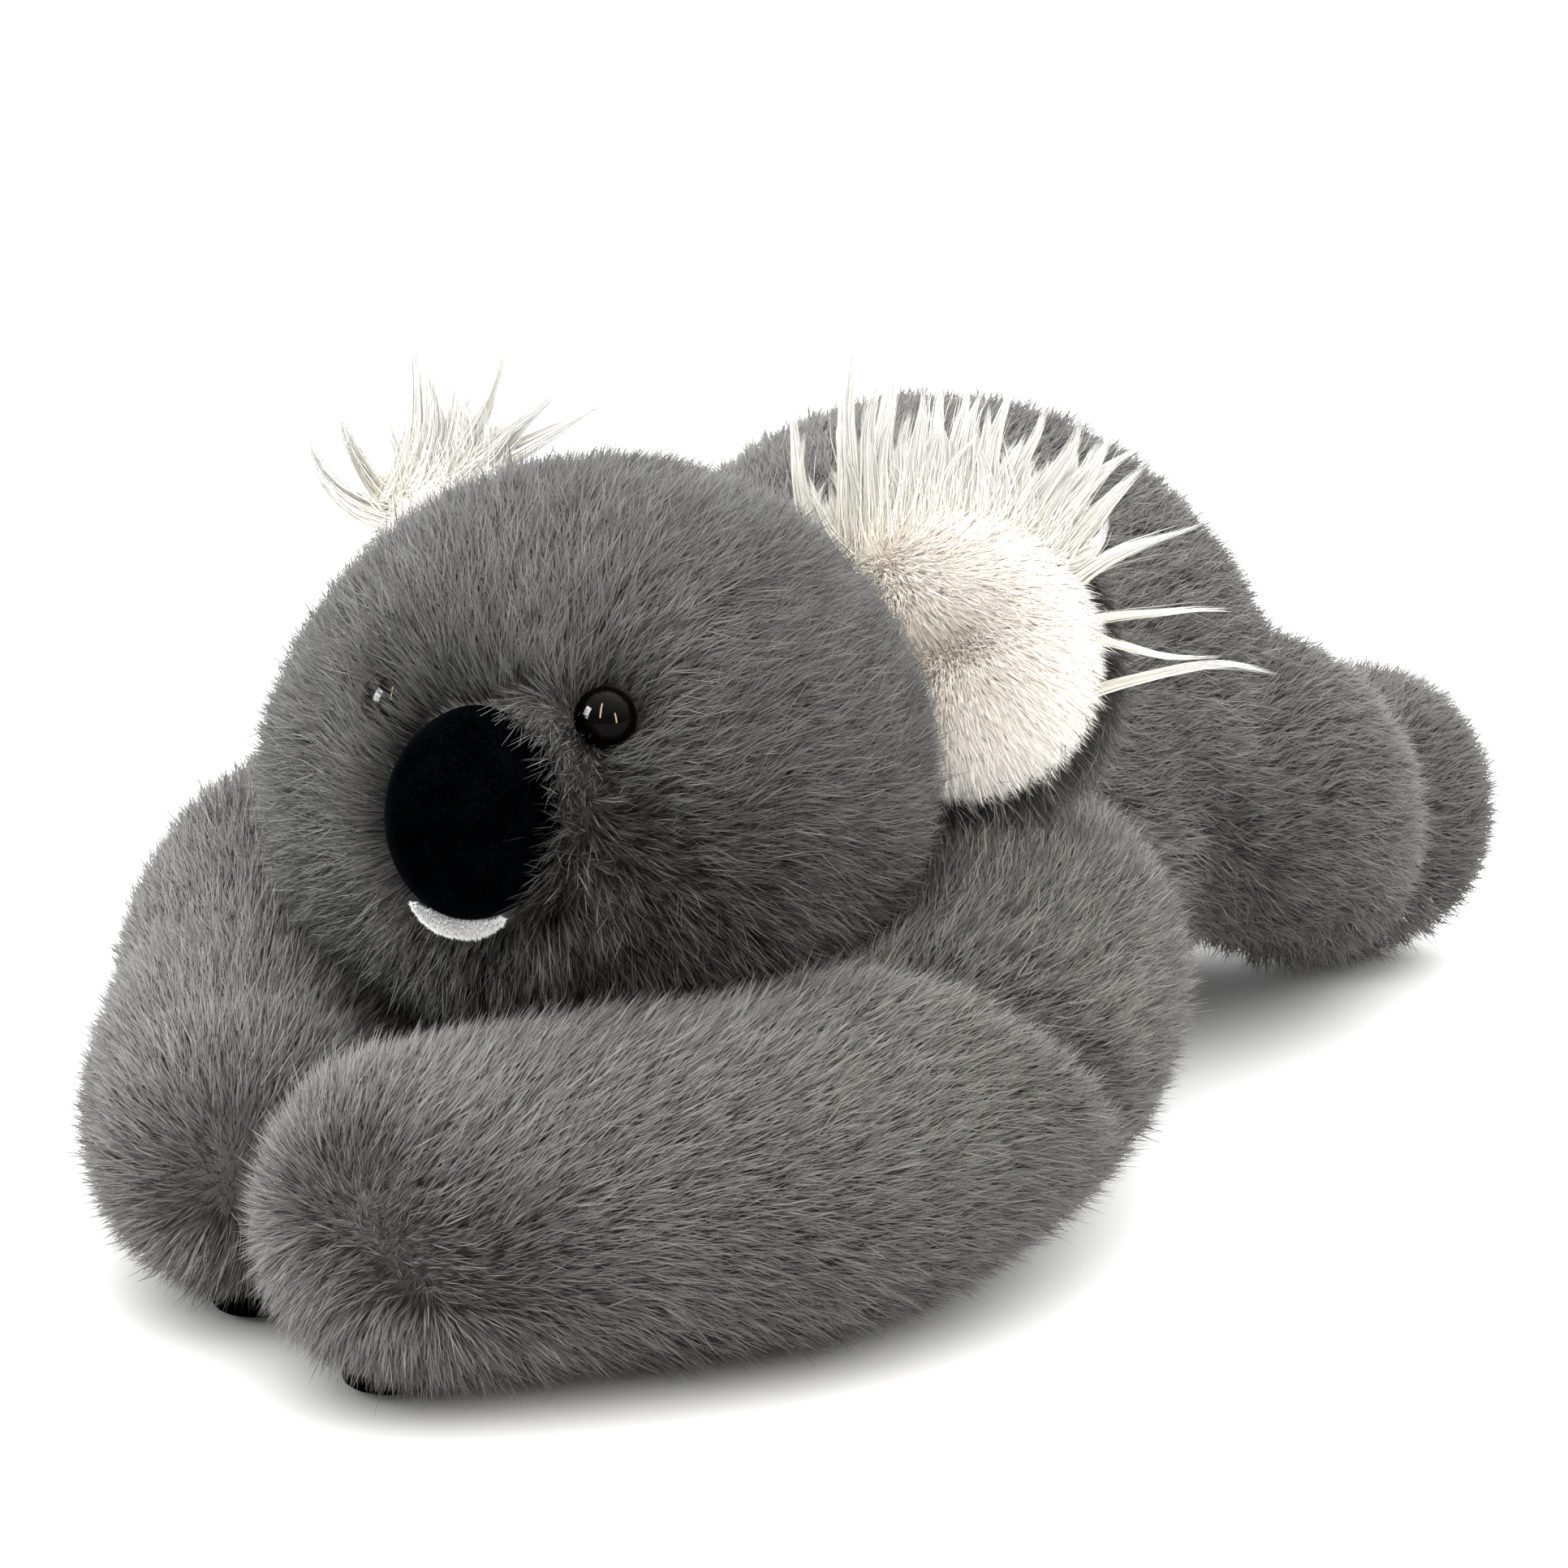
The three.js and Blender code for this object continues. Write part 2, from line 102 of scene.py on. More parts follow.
def within(points, centres, halves, margin):
    """True for points deeper than the margin inside a stuffed form whose line runs along y."""
    share = np.clip((points[:, 1] - centres[0, 1]) / (centres[-1, 1] - centres[0, 1]), 0, 1)
    beyond = np.abs(points[:, 1] - np.clip(points[:, 1], *sorted(centres[[0, -1], 1])))
    away = points - smooth_line(centres, share)
    half = smooth_line(halves, share) - margin
    return (away[:, 0] / half[:, 0]) ** 2 + (away[:, 2] / half[:, 1]) ** 2 + (beyond / half.mean(1)) ** 2 < 1


def mesh_piece(name, points, faces, smooth=True):
    """A mesh object from whole arrays: points, and blocks of faces with the same number of corners."""
    mesh = bpy.data.meshes.new(name)
    corners = np.concatenate([block.ravel() for block in faces]).astype(np.int32)
    sizes = np.concatenate([np.full(len(block), block.shape[1]) for block in faces])
    mesh.vertices.add(len(points))
    mesh.vertices.foreach_set("co", np.ascontiguousarray(points, np.float32).ravel())
    mesh.loops.add(len(corners))
    mesh.loops.foreach_set("vertex_index", corners)
    mesh.polygons.add(len(sizes))
    mesh.polygons.foreach_set("loop_start", (np.cumsum(sizes) - sizes).astype(np.int32))
    mesh.polygons.foreach_set("use_smooth", np.full(len(sizes), smooth))
    mesh.update(calc_edges=True)
    piece = bpy.data.objects.new(name, mesh)
    bpy.context.scene.collection.objects.link(piece)
    return piece


def skin(name, surface, rows, sides, span, depth=0.0, floor=0.0006):
    """A closed skin over a surface: a grid of rows by sides, with one point at each pole, kept above the floor."""
    along = np.linspace(*span, rows + 2)
    grid_along, grid_turn = np.meshgrid(along[1:-1], np.arange(sides) * 2 * math.pi / sides, indexing="ij")
    poles = surface(along[[0, -1]], np.zeros(2), depth)
    points = np.vstack([surface(grid_along.ravel(), grid_turn.ravel(), depth), poles])
    points[:, 2] = np.maximum(points[:, 2], floor)
    row, side = np.meshgrid(np.arange(rows - 1), np.arange(sides), indexing="ij")
    near, far = row * sides + side, row * sides + (side + 1) % sides
    quads = np.stack([near, far, far + sides, near + sides], -1).reshape(-1, 4)
    ring, following = np.arange(sides), (np.arange(sides) + 1) % sides
    last = (rows - 1) * sides
    first_fan = np.stack([np.full(sides, rows * sides), following, ring], 1)
    last_fan = np.stack([last + ring, last + following, np.full(sides, rows * sides + 1)], 1)
    return mesh_piece(name, points, [quads, first_fan, last_fan])


def ripple(points, wavelength, seed, waves=7, swing=1.6):
    """Soft unevenness, seldom outside -1 to 1: the mean of some sine waves in seeded directions, times the swing.
    Their lengths are near the given one."""
    rng = np.random.default_rng(seed)
    ways = rng.normal(size=(waves, 3))
    ways *= (2 * math.pi / wavelength * rng.uniform(0.6, 1.5, waves) / np.linalg.norm(ways, axis=1))[:, None]
    return np.sin(points @ ways.T + rng.uniform(0, 2 * math.pi, waves)).mean(1) * swing


def unit(vectors):
    """The same directions at length 1."""
    return vectors / np.maximum(np.linalg.norm(vectors, axis=1), 1e-12)[:, None]


def flattened(vectors, normal):
    """What is left of the vectors once their part along the normal is taken off."""
    return vectors - normal * (vectors * normal).sum(1)[:, None]


def surface_frame(surface, along, turn, depth=0.0):
    """At each place the point, the outward normal, the direction in which along rises, and the cross product of the
    two central differences that give them, whose length goes with the area of a cell."""
    step = 2e-3
    on = surface(along + step, turn, depth) - surface(along - step, turn, depth)
    sideways = surface(along, turn + step, depth) - surface(along, turn - step, depth)
    outward = np.cross(sideways, on)
    return surface(along, turn, depth), unit(outward), unit(on), outward


def scattered(surface, count, span, seed):
    """Places spread evenly by area: the surface is cut into small cells, and each takes its share of the places, at
    random in it."""
    rows, sides = 150, 120
    along = np.linspace(*span, rows + 1)
    middle = (along[1:] + along[:-1]) / 2
    a, t = (v.ravel() for v in np.meshgrid(middle, (np.arange(sides) + 0.5) * 2 * math.pi / sides, indexing="ij"))
    area = np.cumsum(np.linalg.norm(surface_frame(surface, a, t)[3], axis=1))
    rng = np.random.default_rng(seed)
    chosen = np.searchsorted(area, (np.arange(count) + rng.random(count)) / count * area[-1])
    chosen = np.minimum(chosen, len(a) - 1)
    along = a[chosen] + (rng.random(count) - 0.5) * (middle[1] - middle[0])
    return along, t[chosen] + (rng.random(count) - 0.5) * 2 * math.pi / sides


CLUSTER = 3
STRANDS_EACH = 98000


def pile(name, surface, body, finish, strands, length, lean, span, seed, brushed=1, depth=BACKING_DEPTH,
         width=0.00029, gather=0.4, spread=0.0008, steer=None, hidden=None):
    """Standing pile in clusters of three strands. A strand is a narrow kite, bent at its widest place: it rises
    from the backing and leans the way the pile is brushed, by 0.45 of its tilt below the bend and 1.25 above it,
    drawn towards its cluster's middle. steer changes the brushing, length and tilt from place to place and adds
    painted light and shade, and none grows where it is hidden. The map runs from root to tip in y and holds the
    strand's shade in x."""
    rng = np.random.default_rng(seed)

    # Where the clusters stand; the underside, which is out of sight, has half as many
    along, turn = scattered(surface, strands // CLUSTER, span, seed + 1)
    point, normal, on, _ = surface_frame(surface, along, turn, depth)
    underside = normal[:, 2] < -0.6
    seen = rng.random(len(point)) < np.where(underside, 0.5, 1)
    if hidden is not None:
        seen &= ~hidden(point)
    point, normal, on = point[seen], normal[seen], on[seen]
    count = len(point)

    # Which way they are brushed
    swirl, eddy = 0.35 * ripple(point, 0.05, seed + 2), 0.3 * ripple(point, 0.012, seed + 5)
    stray = 0.25 * rng.normal(size=count)
    angle = swirl + eddy + stray
    across = np.cross(normal, on)
    comb = brushed * (on * np.cos(angle)[:, None] + across * np.sin(angle)[:, None])
    scale, stoop, painted_shading = np.ones(count), np.ones(count), np.zeros(count)
    if steer is not None:
        comb, scale, stoop, painted_shading = steer(point, normal, comb)
        seen = scale > 0
        point, normal, on, across, comb, scale, stoop, painted_shading = (
            v[seen] for v in (point, normal, on, across, comb, scale, stoop, painted_shading))
        count = len(point)

    # Their shade, tilt and length. The shade has painted light on faces that look up, and steer's painted light and
    # shade is added to it.
    middle_shade, lit_from_above = 0.44, 0.15
    grain, patches = 0.09 * rng.normal(size=count), 0.10 * ripple(point, 0.035, seed + 3)
    shade = middle_shade + lit_from_above * normal[:, 2] + painted_shading + grain + patches
    ruffle, lie = 0.14 * rng.normal(size=count), 0.12 * ripple(point, 0.02, seed + 4)
    tilt = stoop * (lean + ruffle + lie)
    long = length * scale * (1 + 0.08 * rng.normal(size=count))
    dark = np.clip(-painted_shading, 0, 0.4)
    point, normal, on, across, comb = (np.repeat(v, CLUSTER, 0) for v in (point, normal, on, across, comb))
    shade, tilt, long, dark = (np.repeat(v, CLUSTER) for v in (shade, tilt, long, dark))

    # The strands round each cluster's middle; one in twenty is loose, longer and more upright
    total = count * CLUSTER
    ring, reach = rng.uniform(0, 2 * math.pi, total), spread * np.sqrt(rng.random(total))
    offset = on * (reach * np.cos(ring))[:, None] + across * (reach * np.sin(ring))[:, None]
    loose = rng.random(total) < 0.05
    long = long * (1 + 0.12 * rng.normal(size=total) + 0.15 * loose)
    tilt = tilt * (1 - 0.25 * loose) + 0.10 * rng.normal(size=total)
    wander = np.cross(normal, comb) * (0.22 * rng.normal(size=total))[:, None]
    early, late = 0.45 * tilt, 1.25 * tilt
    low = unit(normal * np.cos(early)[:, None] + (comb + wander) * np.sin(early)[:, None])
    high = unit(normal * np.cos(late)[:, None] + (comb + wander) * np.sin(late)[:, None])
    root = point + offset
    middle = root + low * (long * 0.5)[:, None] - offset * (0.35 * gather)
    tip = middle + high * (long * 0.5)[:, None] - offset * (0.65 * gather)

    # The kites, each rolled a little about its strand and kept above the floor
    roll = 0.55 * rng.normal(size=total)
    flat = unit(np.cross(high, normal + 0.01 * comb))
    flat = flat * np.cos(roll)[:, None] + np.cross(high, flat) * np.sin(roll)[:, None]
    broad = (width * (1 + 0.2 * rng.normal(size=total)))[:, None] / 2
    points = np.stack([root, middle + flat * broad, middle - flat * broad, tip], 1)
    points[..., 2] = np.maximum(points[..., 2], 0.0003 + 0.0004 * rng.random((total, 1)))
    # Where the painted shade is dark, the strands' shades spread wider
    contrast = 0.18 + 1.1 * dark
    shade = np.clip(shade + contrast * rng.normal(size=total), 0.03, 0.97)
    for number, first in enumerate(range(0, total, STRANDS_EACH), 1):
        some = slice(first, first + STRANDS_EACH)
        count = len(points[some])
        corner = np.arange(count)[:, None] * 4
        piece = mesh_piece(f"{name}_{number}", points[some].reshape(-1, 3),
                           [corner + np.array([0, 1, 2]), corner + np.array([2, 1, 3])], smooth=False)
        left, right = shade[some] - 0.02, shade[some] + 0.02
        root_y, middle_y, tip_y = (np.full(count, y) for y in (0.03, 0.5, 0.97))
        starts = np.stack([shade[some], root_y, right, middle_y, left, middle_y], 1)
        ends = np.stack([left, middle_y, right, middle_y, shade[some], tip_y], 1)
        finished_strands(piece, np.concatenate([starts.ravel(), ends.ravel()]), body, finish)


def finished_strands(piece, places, body, finish):
    """Gives strands their map, finish and body."""
    piece.data.uv_layers.new(name="OFBake").data.foreach_set("uv", places.astype(np.float32))
    piece.data.materials.append(finish)
    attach(piece, body)


def parted(whorls):
    """Steering for pile that parts along short lines. Each has two ends, a radius, a strength and how dark it is
    painted. Near it the pile turns away from the line, which wobbles; in a dark one it also stands up and points
    every way, and its colour is painted darker there: painted shade."""
    def steer(point, normal, comb):
        stoop, painted_shading = np.ones(len(point)), np.zeros(len(point))
        wobble, bristle = (np.stack([ripple(point, wavelength, 7 * axis + 5) for axis in range(3)], 1)
                           for wavelength in (0.02, 0.003))
        for start, end, radius, strength, dark in whorls:
            line = np.array(end) - start
            share = np.clip((point - start) @ line / (line @ line), 0, 1)
            away = flattened(point - start - share[:, None] * line + min(0.35 * radius, 0.004) * wobble, normal)
            near = np.exp(-((np.linalg.norm(away, axis=1) / radius) ** 2))
            comb = comb + (strength * unit(away) + 6 * dark * bristle) * near[:, None]
            stoop *= 1 - (0.5 if dark else 0) * near
            # Painted shade in the parting
            painted_shading -= dark * near
        return unit(flattened(comb, normal)), np.ones(len(point)), stoop, painted_shading
    return steer


class Wire:
    """One output of a shader node. Sums and products of wires add Math nodes."""

    def __init__(self, tree, socket):
        self.tree, self.socket = tree, socket

    def maths(self, operation, first, second):
        """A Math node of two values."""
        node = self.tree.nodes.new("ShaderNodeMath")
        node.operation = operation
        for port, value in zip(node.inputs, (first, second)):
            plug(self.tree, port, value)
        return Wire(self.tree, node.outputs[0])

    def __add__(self, other):
        return self.maths("ADD", self, other)

    def __mul__(self, other):
        return self.maths("MULTIPLY", self, other)

    __radd__, __rmul__ = __add__, __mul__


def plug(tree, port, value):
    """Gives a socket a link or a value."""
    if isinstance(value, Wire):
        tree.links.new(value.socket, port)
    else:
        port.default_value = value


class Finish:
    """A material round one Principled shader. Its constants go straight on to the shader's sockets."""

    def __init__(self, name, **constants):
        self.material = bpy.data.materials.new(name)
        self.material.use_nodes = True
        self.tree = self.material.node_tree
        self.shader = self.tree.nodes["Principled BSDF"]
        for socket, value in constants.items():
            self.shader.inputs[socket.replace("_", " ")].default_value = value

    def node(self, kind, settings=None, **ports):
        """Adds a node: its type, its settings, then its sockets by name or, as s0 and s6, by number."""
        node = self.tree.nodes.new(kind)
        for key, value in (settings or {}).items():
            if key == "stops":
                ramp = node.color_ramp.elements
                while len(ramp) < len(value):
                    ramp.new(0.5)
                for stop, (place, colour) in zip(ramp, value):
                    stop.position, stop.color = place, (*colour, 1)
            else:
                setattr(node, key, value)
        for key, value in ports.items():
            plug(self.tree, node.inputs[int(key[1:])] if key[1:].isdigit() else node.inputs[key], value)
        return [Wire(self.tree, output) for output in node.outputs]

    def mix(self, factor, first, second):
        """One colour between two others."""
        return self.node("ShaderNodeMix", {"data_type": "RGBA"}, s0=factor, s6=first, s7=second)[2]

    def noise(self, scale, **settings):
        """Noise on Object coordinates."""
        return self.node("ShaderNodeTexNoise", Vector=self.node("ShaderNodeTexCoord")[3], Scale=scale, **settings)[0]

    def feed(self, socket, value):
        """Plugs a value into the shader."""
        plug(self.tree, self.shader.inputs[socket], value)


def pile_finish(name, dull, bright, **constants):
    """Pile with two sets of colours, dull and bright, each at root, middle and tip. The map's y runs through their
    two ramps, and its x mixes them; x carries random differences of shade and also painted light and shade."""
    finish = Finish(name, **constants)
    place = finish.node("ShaderNodeUVMap", {"uv_map": "OFBake"})[0]
    shade, rise, _ = finish.node("ShaderNodeSeparateXYZ", s0=place)
    ramps = [finish.node("ShaderNodeValToRGB", {"stops": list(zip((0, 0.5, 1), colours))}, Fac=rise)[0]
             for colours in (dull, bright)]
    finish.feed("Base Color", finish.mix(shade, *ramps))
    return finish.material


GREY_PILE = pile_finish(
    "grey_pile",
    [(0.015, 0.015, 0.014), (0.044, 0.044, 0.042), (0.088, 0.087, 0.082)],
    [(0.037, 0.036, 0.034), (0.143, 0.141, 0.133), (0.305, 0.301, 0.283)],
    Roughness=0.62, Specular_IOR_Level=0.1)
FACE_PILE = pile_finish(
    "grey_pile_of_the_head",
    [(0.005, 0.005, 0.005), (0.010, 0.010, 0.010), (0.016, 0.016, 0.016)],
    [(0.032, 0.032, 0.031), (0.099, 0.100, 0.098), (0.222, 0.223, 0.217)],
    Roughness=0.62, Specular_IOR_Level=0.1)


def backing_finish(name, low, high):
    """Woven backing with the pile's undercoat: two scales of noise on Object coordinates mix two shades."""
    finish = Finish(name, Roughness=0.95)
    coarse, fine = finish.noise(90.0, Detail=3.0), finish.noise(900.0, Detail=2.0)
    finish.feed("Base Color", finish.mix(coarse * 0.5 + fine * 0.5, (*low, 1), (*high, 1)))
    finish.feed("Normal", finish.node("ShaderNodeBump", Height=fine, Strength=0.4, Distance=0.0006)[0])
    return finish.material


GREY_BACKING = backing_finish("grey_backing", (0.03, 0.03, 0.028), (0.07, 0.07, 0.066))


def dressed(piece, body, finish, node):
    """Gives a stuffed piece its finish, says what it rides on and hides the solid that it stands for."""
    piece.data.materials.append(finish)
    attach(piece, body)
    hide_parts(node)


def hip_crease(side):
    """The crease where the front of a thigh is sewn to the body, as a short parting darkened with painted shade."""
    return (side * 0.084, -0.024, 0.086), (side * 0.0865, 0.001, 0.048), 0.009, 0.2, 0.34


body_creases = parted([hip_crease(1), hip_crease(-1)])


def rising(value, start, width):
    """0 up to start, 1 from a width further on, and a straight line between them."""
    return np.clip((value - start) / width, 0, 1)


def falling(value, end, width):
    """1 up to a width before end, 0 from end on, and a straight line between them."""
    return np.clip((end - value) / width, 0, 1)


def painted_shade_on_body(point, normal, comb):
    """Parted at the hips, with painted shade in the creases; painted light makes it a little lighter low down, and
    painted shade darker over the top of the rump.
    """
    comb, scale, stoop, painted_shading = body_creases(point, normal, comb)
    far, high = rising(point[:, 1], -0.04, 0.06), rising(point[:, 2], 0.07, 0.04)
    return comb, scale, stoop, painted_shading + 0.16 * (1 - high) - 0.40 * far * high


HEAD_PLACE = np.array([0, -0.197, 0.120])
NECK_BARE = 0.050


def in_neck(point):
    """True for points so near the head's middle that the head always covers them."""
    return np.linalg.norm(point - HEAD_PLACE, axis=1) < NECK_BARE


TUBE = (-1, 2)
body_form = laid_out(BODY_ROWS, **BODY_SIZES)
body_surface = stuffed(*body_form)
dressed(skin("body_plush", body_surface, 70, 80, TUBE, BACKING_DEPTH), "trunk", GREY_BACKING,
        "body_skin")
pile("body_pile", body_surface, "trunk", GREY_PILE, strands=185000, length=0.0115, lean=0.95,
     span=(-0.96, 1.97), seed=11, gather=0.3, width=0.00031, steer=painted_shade_on_body, hidden=in_neck)


# Head: one skin, fuller at the cheeks, with a swollen muzzle and a dimple for each eye.
# It is sewn to the body round the neck, and its pile is brushed back from the nose all round.
HEAD_HALF = np.array([0.078, 0.071, 0.069])
NAPE_DEPTH = 0.092
CHEEK_SHARE = 0.16
HEAD_TURN = 0.13
NOSE_DIRECTION = np.array([0, -0.071, 0.003])
EYE_ASIDE, EYE_ABOVE = 0.029, 0.025


def eye_direction(side):
    """From the head's middle towards an eye, to a ball whose radius is the head's half length."""
    return np.array([side * EYE_ASIDE, -math.sqrt(HEAD_HALF[1] ** 2 - EYE_ASIDE**2 - EYE_ABOVE**2), EYE_ABOVE])


HEAD_SWELLS = [(NOSE_DIRECTION, 0.005, 0.5), (eye_direction(1), -0.004, 0.2), (eye_direction(-1), -0.004, 0.2)]


def head_point(direction, depth=0.0):
    """A point of the head on a unit direction, before the head is turned and placed. Its reach is the ellipsoid's
    less the depth, plus each swelling's height times exp(-(angle from it / spread)^2). The width then narrows
    upwards in proportion to the height."""
    half = np.where(direction[:, 1:2] < 0, HEAD_HALF, [HEAD_HALF[0], NAPE_DEPTH, HEAD_HALF[2]])
    reach = 1 / np.linalg.norm(direction / half, axis=1) - depth
    for towards, height, spread in HEAD_SWELLS:
        angle = np.arccos(np.clip(direction @ (towards / np.linalg.norm(towards)), -1, 1))
        reach += height * np.exp(-((angle / spread) ** 2))
    point = direction * reach[:, None]
    point[:, 0] *= 1 - CHEEK_SHARE * point[:, 2] / HEAD_HALF[2]
    return point


def turned(angle, axis):
    """The 3 by 3 matrix of a right-handed turn about x, y or z."""
    a, b = [(1, 2), (2, 0), (0, 1)]["xyz".index(axis)]
    matrix = np.eye(3)
    matrix[a, a] = matrix[b, b] = math.cos(angle)
    matrix[a, b], matrix[b, a] = -math.sin(angle), math.sin(angle)
    return matrix


HEAD_MATRIX = turned(HEAD_TURN, "z")


def head_surface(along, turn, depth=0.0):
    """The head with its pole at the nose: along runs from 0 there to 1 at the nape, and turn goes round the nose."""
    polar = along * math.pi
    direction = np.stack([-np.sin(polar) * np.cos(turn), -np.cos(polar), np.sin(polar) * np.sin(turn)], 1)
    return head_point(direction, depth) @ HEAD_MATRIX.T + HEAD_PLACE


def seat(towards, sunk):
    """A place on the head: its matrix, whose columns run right, up and out of the pile, and its origin, sunk in."""
    towards = towards / np.linalg.norm(towards)
    level = unit(np.cross([0, 0, 1], towards)[None])[0]
    step = 0.01
    near = np.stack([towards, towards + step * level, towards + step * np.cross(towards, level)])
    at, aside, above = head_point(unit(near))
    out = np.cross(aside - at, above - at)
    out /= np.linalg.norm(out) * np.sign(out @ towards)
    right = unit(np.cross([0, 0, 1], out)[None])[0]
    return np.stack([right, np.cross(out, right), out], 1), at - out * sunk


def on_head(matrix, origin, side=1):
    """Carries a place from the head to the room; side -1 mirrors it to the koala's right."""
    flip = np.diag([side, 1, 1])
    return HEAD_MATRIX @ flip @ matrix, HEAD_MATRIX @ flip @ origin + HEAD_PLACE


NOSE_SEAT = on_head(*seat(NOSE_DIRECTION, sunk=0.009))
EYE_SEATS = {side: on_head(*seat(eye_direction(1), sunk=0.0025), side) for side in (1, -1)}
NOSE_HALF = np.array([0.019, 0.0235])
COVERED_DEPTH = 0.020


def in_head(point, margin=COVERED_DEPTH):
    """True for points deeper than the margin inside the head."""
    local = (point - HEAD_PLACE) @ HEAD_MATRIX
    return np.linalg.norm(local, axis=1) < np.linalg.norm(head_point(unit(local), margin), axis=1)


def in_body(point):
    """True for points so deep inside the body that no pile shows there."""
    return within(point, *body_form, COVERED_DEPTH)


# Partings below the left eye, on the left cheek and under the chin, darkened with painted shade
cheek_whorl = parted([
    ((0.036, -0.262, 0.130), (0.046, -0.256, 0.108), 0.013, 0.8, 0.18),
    ((0.030, -0.254, 0.088), (0.054, -0.241, 0.089), 0.024, 0.3, 0.20),
    ((-0.006, -0.260, 0.076), (0.034, -0.250, 0.074), 0.018, 0.1, 0.36),
])


def part_round_the_face(point, normal, comb):
    """Leaves the nose, lip and left eye clear: no pile grows under them. It is shorter under the lip and round that
    eye, rises and leans over the nose's left rim, and half covers the right eye, which is turned away. Painted
    shade makes it darker under the chin, most of all on the right, and a little darker where it leans over the
    nose. Distances from the nose's middle are in its half sizes."""
    comb, scale, stoop, painted_shading = cheek_whorl(point, normal, comb)
    local = (point - NOSE_SEAT[1]) @ NOSE_SEAT[0]
    right, up, out = local.T
    ring = np.hypot(right / NOSE_HALF[0], up / NOSE_HALF[1])
    far_away = 9
    beside = np.where(out > -0.02, ring, far_away)
    below = falling(up, 0, NOSE_HALF[1]) ** 4 * (right < 0.007)
    over = np.clip(0.15 + (1.1 * right + 0.15 * up) / np.hypot(right, up), 0, 1)
    edge = 0.93 + 0.16 * below
    close = np.exp(-((np.maximum(beside - edge, 0) / 0.35) ** 2))
    scale = np.where(below > 0.2, np.clip(0.6 + (beside - edge) * 1.1, 0.6, 1), scale + 0.55 * over * close)
    scale = np.where(beside < edge, 0, scale)
    comb = comb * (1 - 1.9 * over * close)[:, None]
    stoop *= 1 - (0.7 - 0.25 * over) * close
    # Painted shade under the chin and over the nose's rim
    low = falling(point[:, 2], 0.110, 0.035)
    painted_shading = painted_shading - 0.04 * over * close - low * (0.25 + 0.18 * falling(point[:, 0], 0.030, 0.03))
    for side, (_, origin) in EYE_SEATS.items():
        away = flattened(point - origin, normal)
        distance = np.linalg.norm(away, axis=1)
        bare, push, short = (0.0058, 0.8, 0.7) if side > 0 else (0.0018, -0.5, 1)
        scale = np.where(distance < bare, 0, scale * np.clip(short + (distance - bare) / 0.016, short, 1))
        comb = comb + push * unit(away) * np.exp(-((distance / 0.010) ** 2))[:, None]
        stoop *= 1 - 0.5 * np.exp(-((distance / 0.009) ** 4))
    return unit(comb), scale, stoop, painted_shading


dressed(skin("head_plush", head_surface, 60, 72, (0, 1), BACKING_DEPTH), "head", GREY_BACKING,
        "head_skin")
pile("head_pile", head_surface, "head", FACE_PILE, strands=222000, length=0.0125, lean=0.95,
     span=(0.02, 0.985), seed=23, steer=part_round_the_face, hidden=in_body)


# Nose: a pouch of black velvet over its own padding, sewn into the end of the muzzle.
# The velvet's nap is short and dense, with a faint cool sheen at its edge.
def cushion(half_width, half_height, front, back, power):
    """A closed cushion: along runs from -1, the middle of its back, through 0, its rim, to 1, the middle of its
    front. The outline shrinks by cos^(2/power) of the angle and the level rises by sin^(2/power)."""
    def surface(along, turn, depth=0.0):
        angle = np.abs(along) * math.pi / 2
        share = np.maximum(np.cos(angle), 0) ** (2 / power)
        level = np.sin(angle) ** (2 / power) * np.where(along > 0, front - depth, depth - back)
        x = share * (half_width - depth) * np.cos(turn)
        return np.stack([x, share * (half_height - depth) * np.sin(turn), level], 1)
    return surface


def placed(surface, matrix, origin):
    """The same surface carried to a place; a mirrored place runs its turn backwards, so that it stays facing out."""
    sense = 1 if np.linalg.det(matrix) > 0 else -1
    return lambda along, turn, depth=0.0: surface(along, sense * turn, depth) @ matrix.T + origin


velvet = Finish("black_velvet", Roughness=0.9, Specular_IOR_Level=0.0, Sheen_Weight=0.02, Sheen_Roughness=0.3,
                Sheen_Tint=(0.30, 0.42, 0.50, 1))
nap, brushing = velvet.noise(1500.0, Detail=4.0), velvet.noise(120.0, Detail=3.0)
specks = velvet.node("ShaderNodeValToRGB", {"stops": [(0.45, (0, 0, 0)), (0.75, (1, 1, 1))]},
                     Fac=nap * 0.6 + brushing * 0.4)[0]
velvet.feed("Base Color", velvet.mix(specks, (0.0002, 0.0002, 0.0003, 1), (0.0016, 0.0022, 0.0032, 1)))
velvet.feed("Normal", velvet.node("ShaderNodeBump", Height=nap, Strength=0.5, Distance=0.0004)[0])
BLACK_VELVET = velvet.material

CUSHION = (-1, 1)
nose_surface = placed(cushion(*NOSE_HALF, front=0.022, back=0.004, power=2.6), *NOSE_SEAT)
dressed(skin("nose_velvet", nose_surface, 56, 72, CUSHION), "head", BLACK_VELVET, "nose_cover")


# Lower lip: a narrow crescent of short white pile, thinner at both ends.
# It is sewn to the muzzle and hugs the underside of the nose.
LIP_HALF = np.array([0.35, 0.8, 1, 1, 1, 0.8, 0.35]) * 0.0048 / 2
LIP_SWEEP, LIP_TURN = 1.1, 0.07
LIP_GAP, LIP_LEVEL, LIP_PILE = 0.0015, 0.009, 0.0012
lip_angle = np.linspace(-0.5, 0.5, len(LIP_HALF)) * LIP_SWEEP - math.pi / 2 - LIP_TURN
lip_centres = np.stack([(NOSE_HALF[0] + LIP_GAP) * np.cos(lip_angle), (NOSE_HALF[1] + LIP_GAP) * np.sin(lip_angle),
                        np.full(len(LIP_HALF), LIP_LEVEL)], 1)
lip_surface = placed(stuffed(lip_centres, np.stack([LIP_HALF, LIP_HALF], 1)), *NOSE_SEAT)
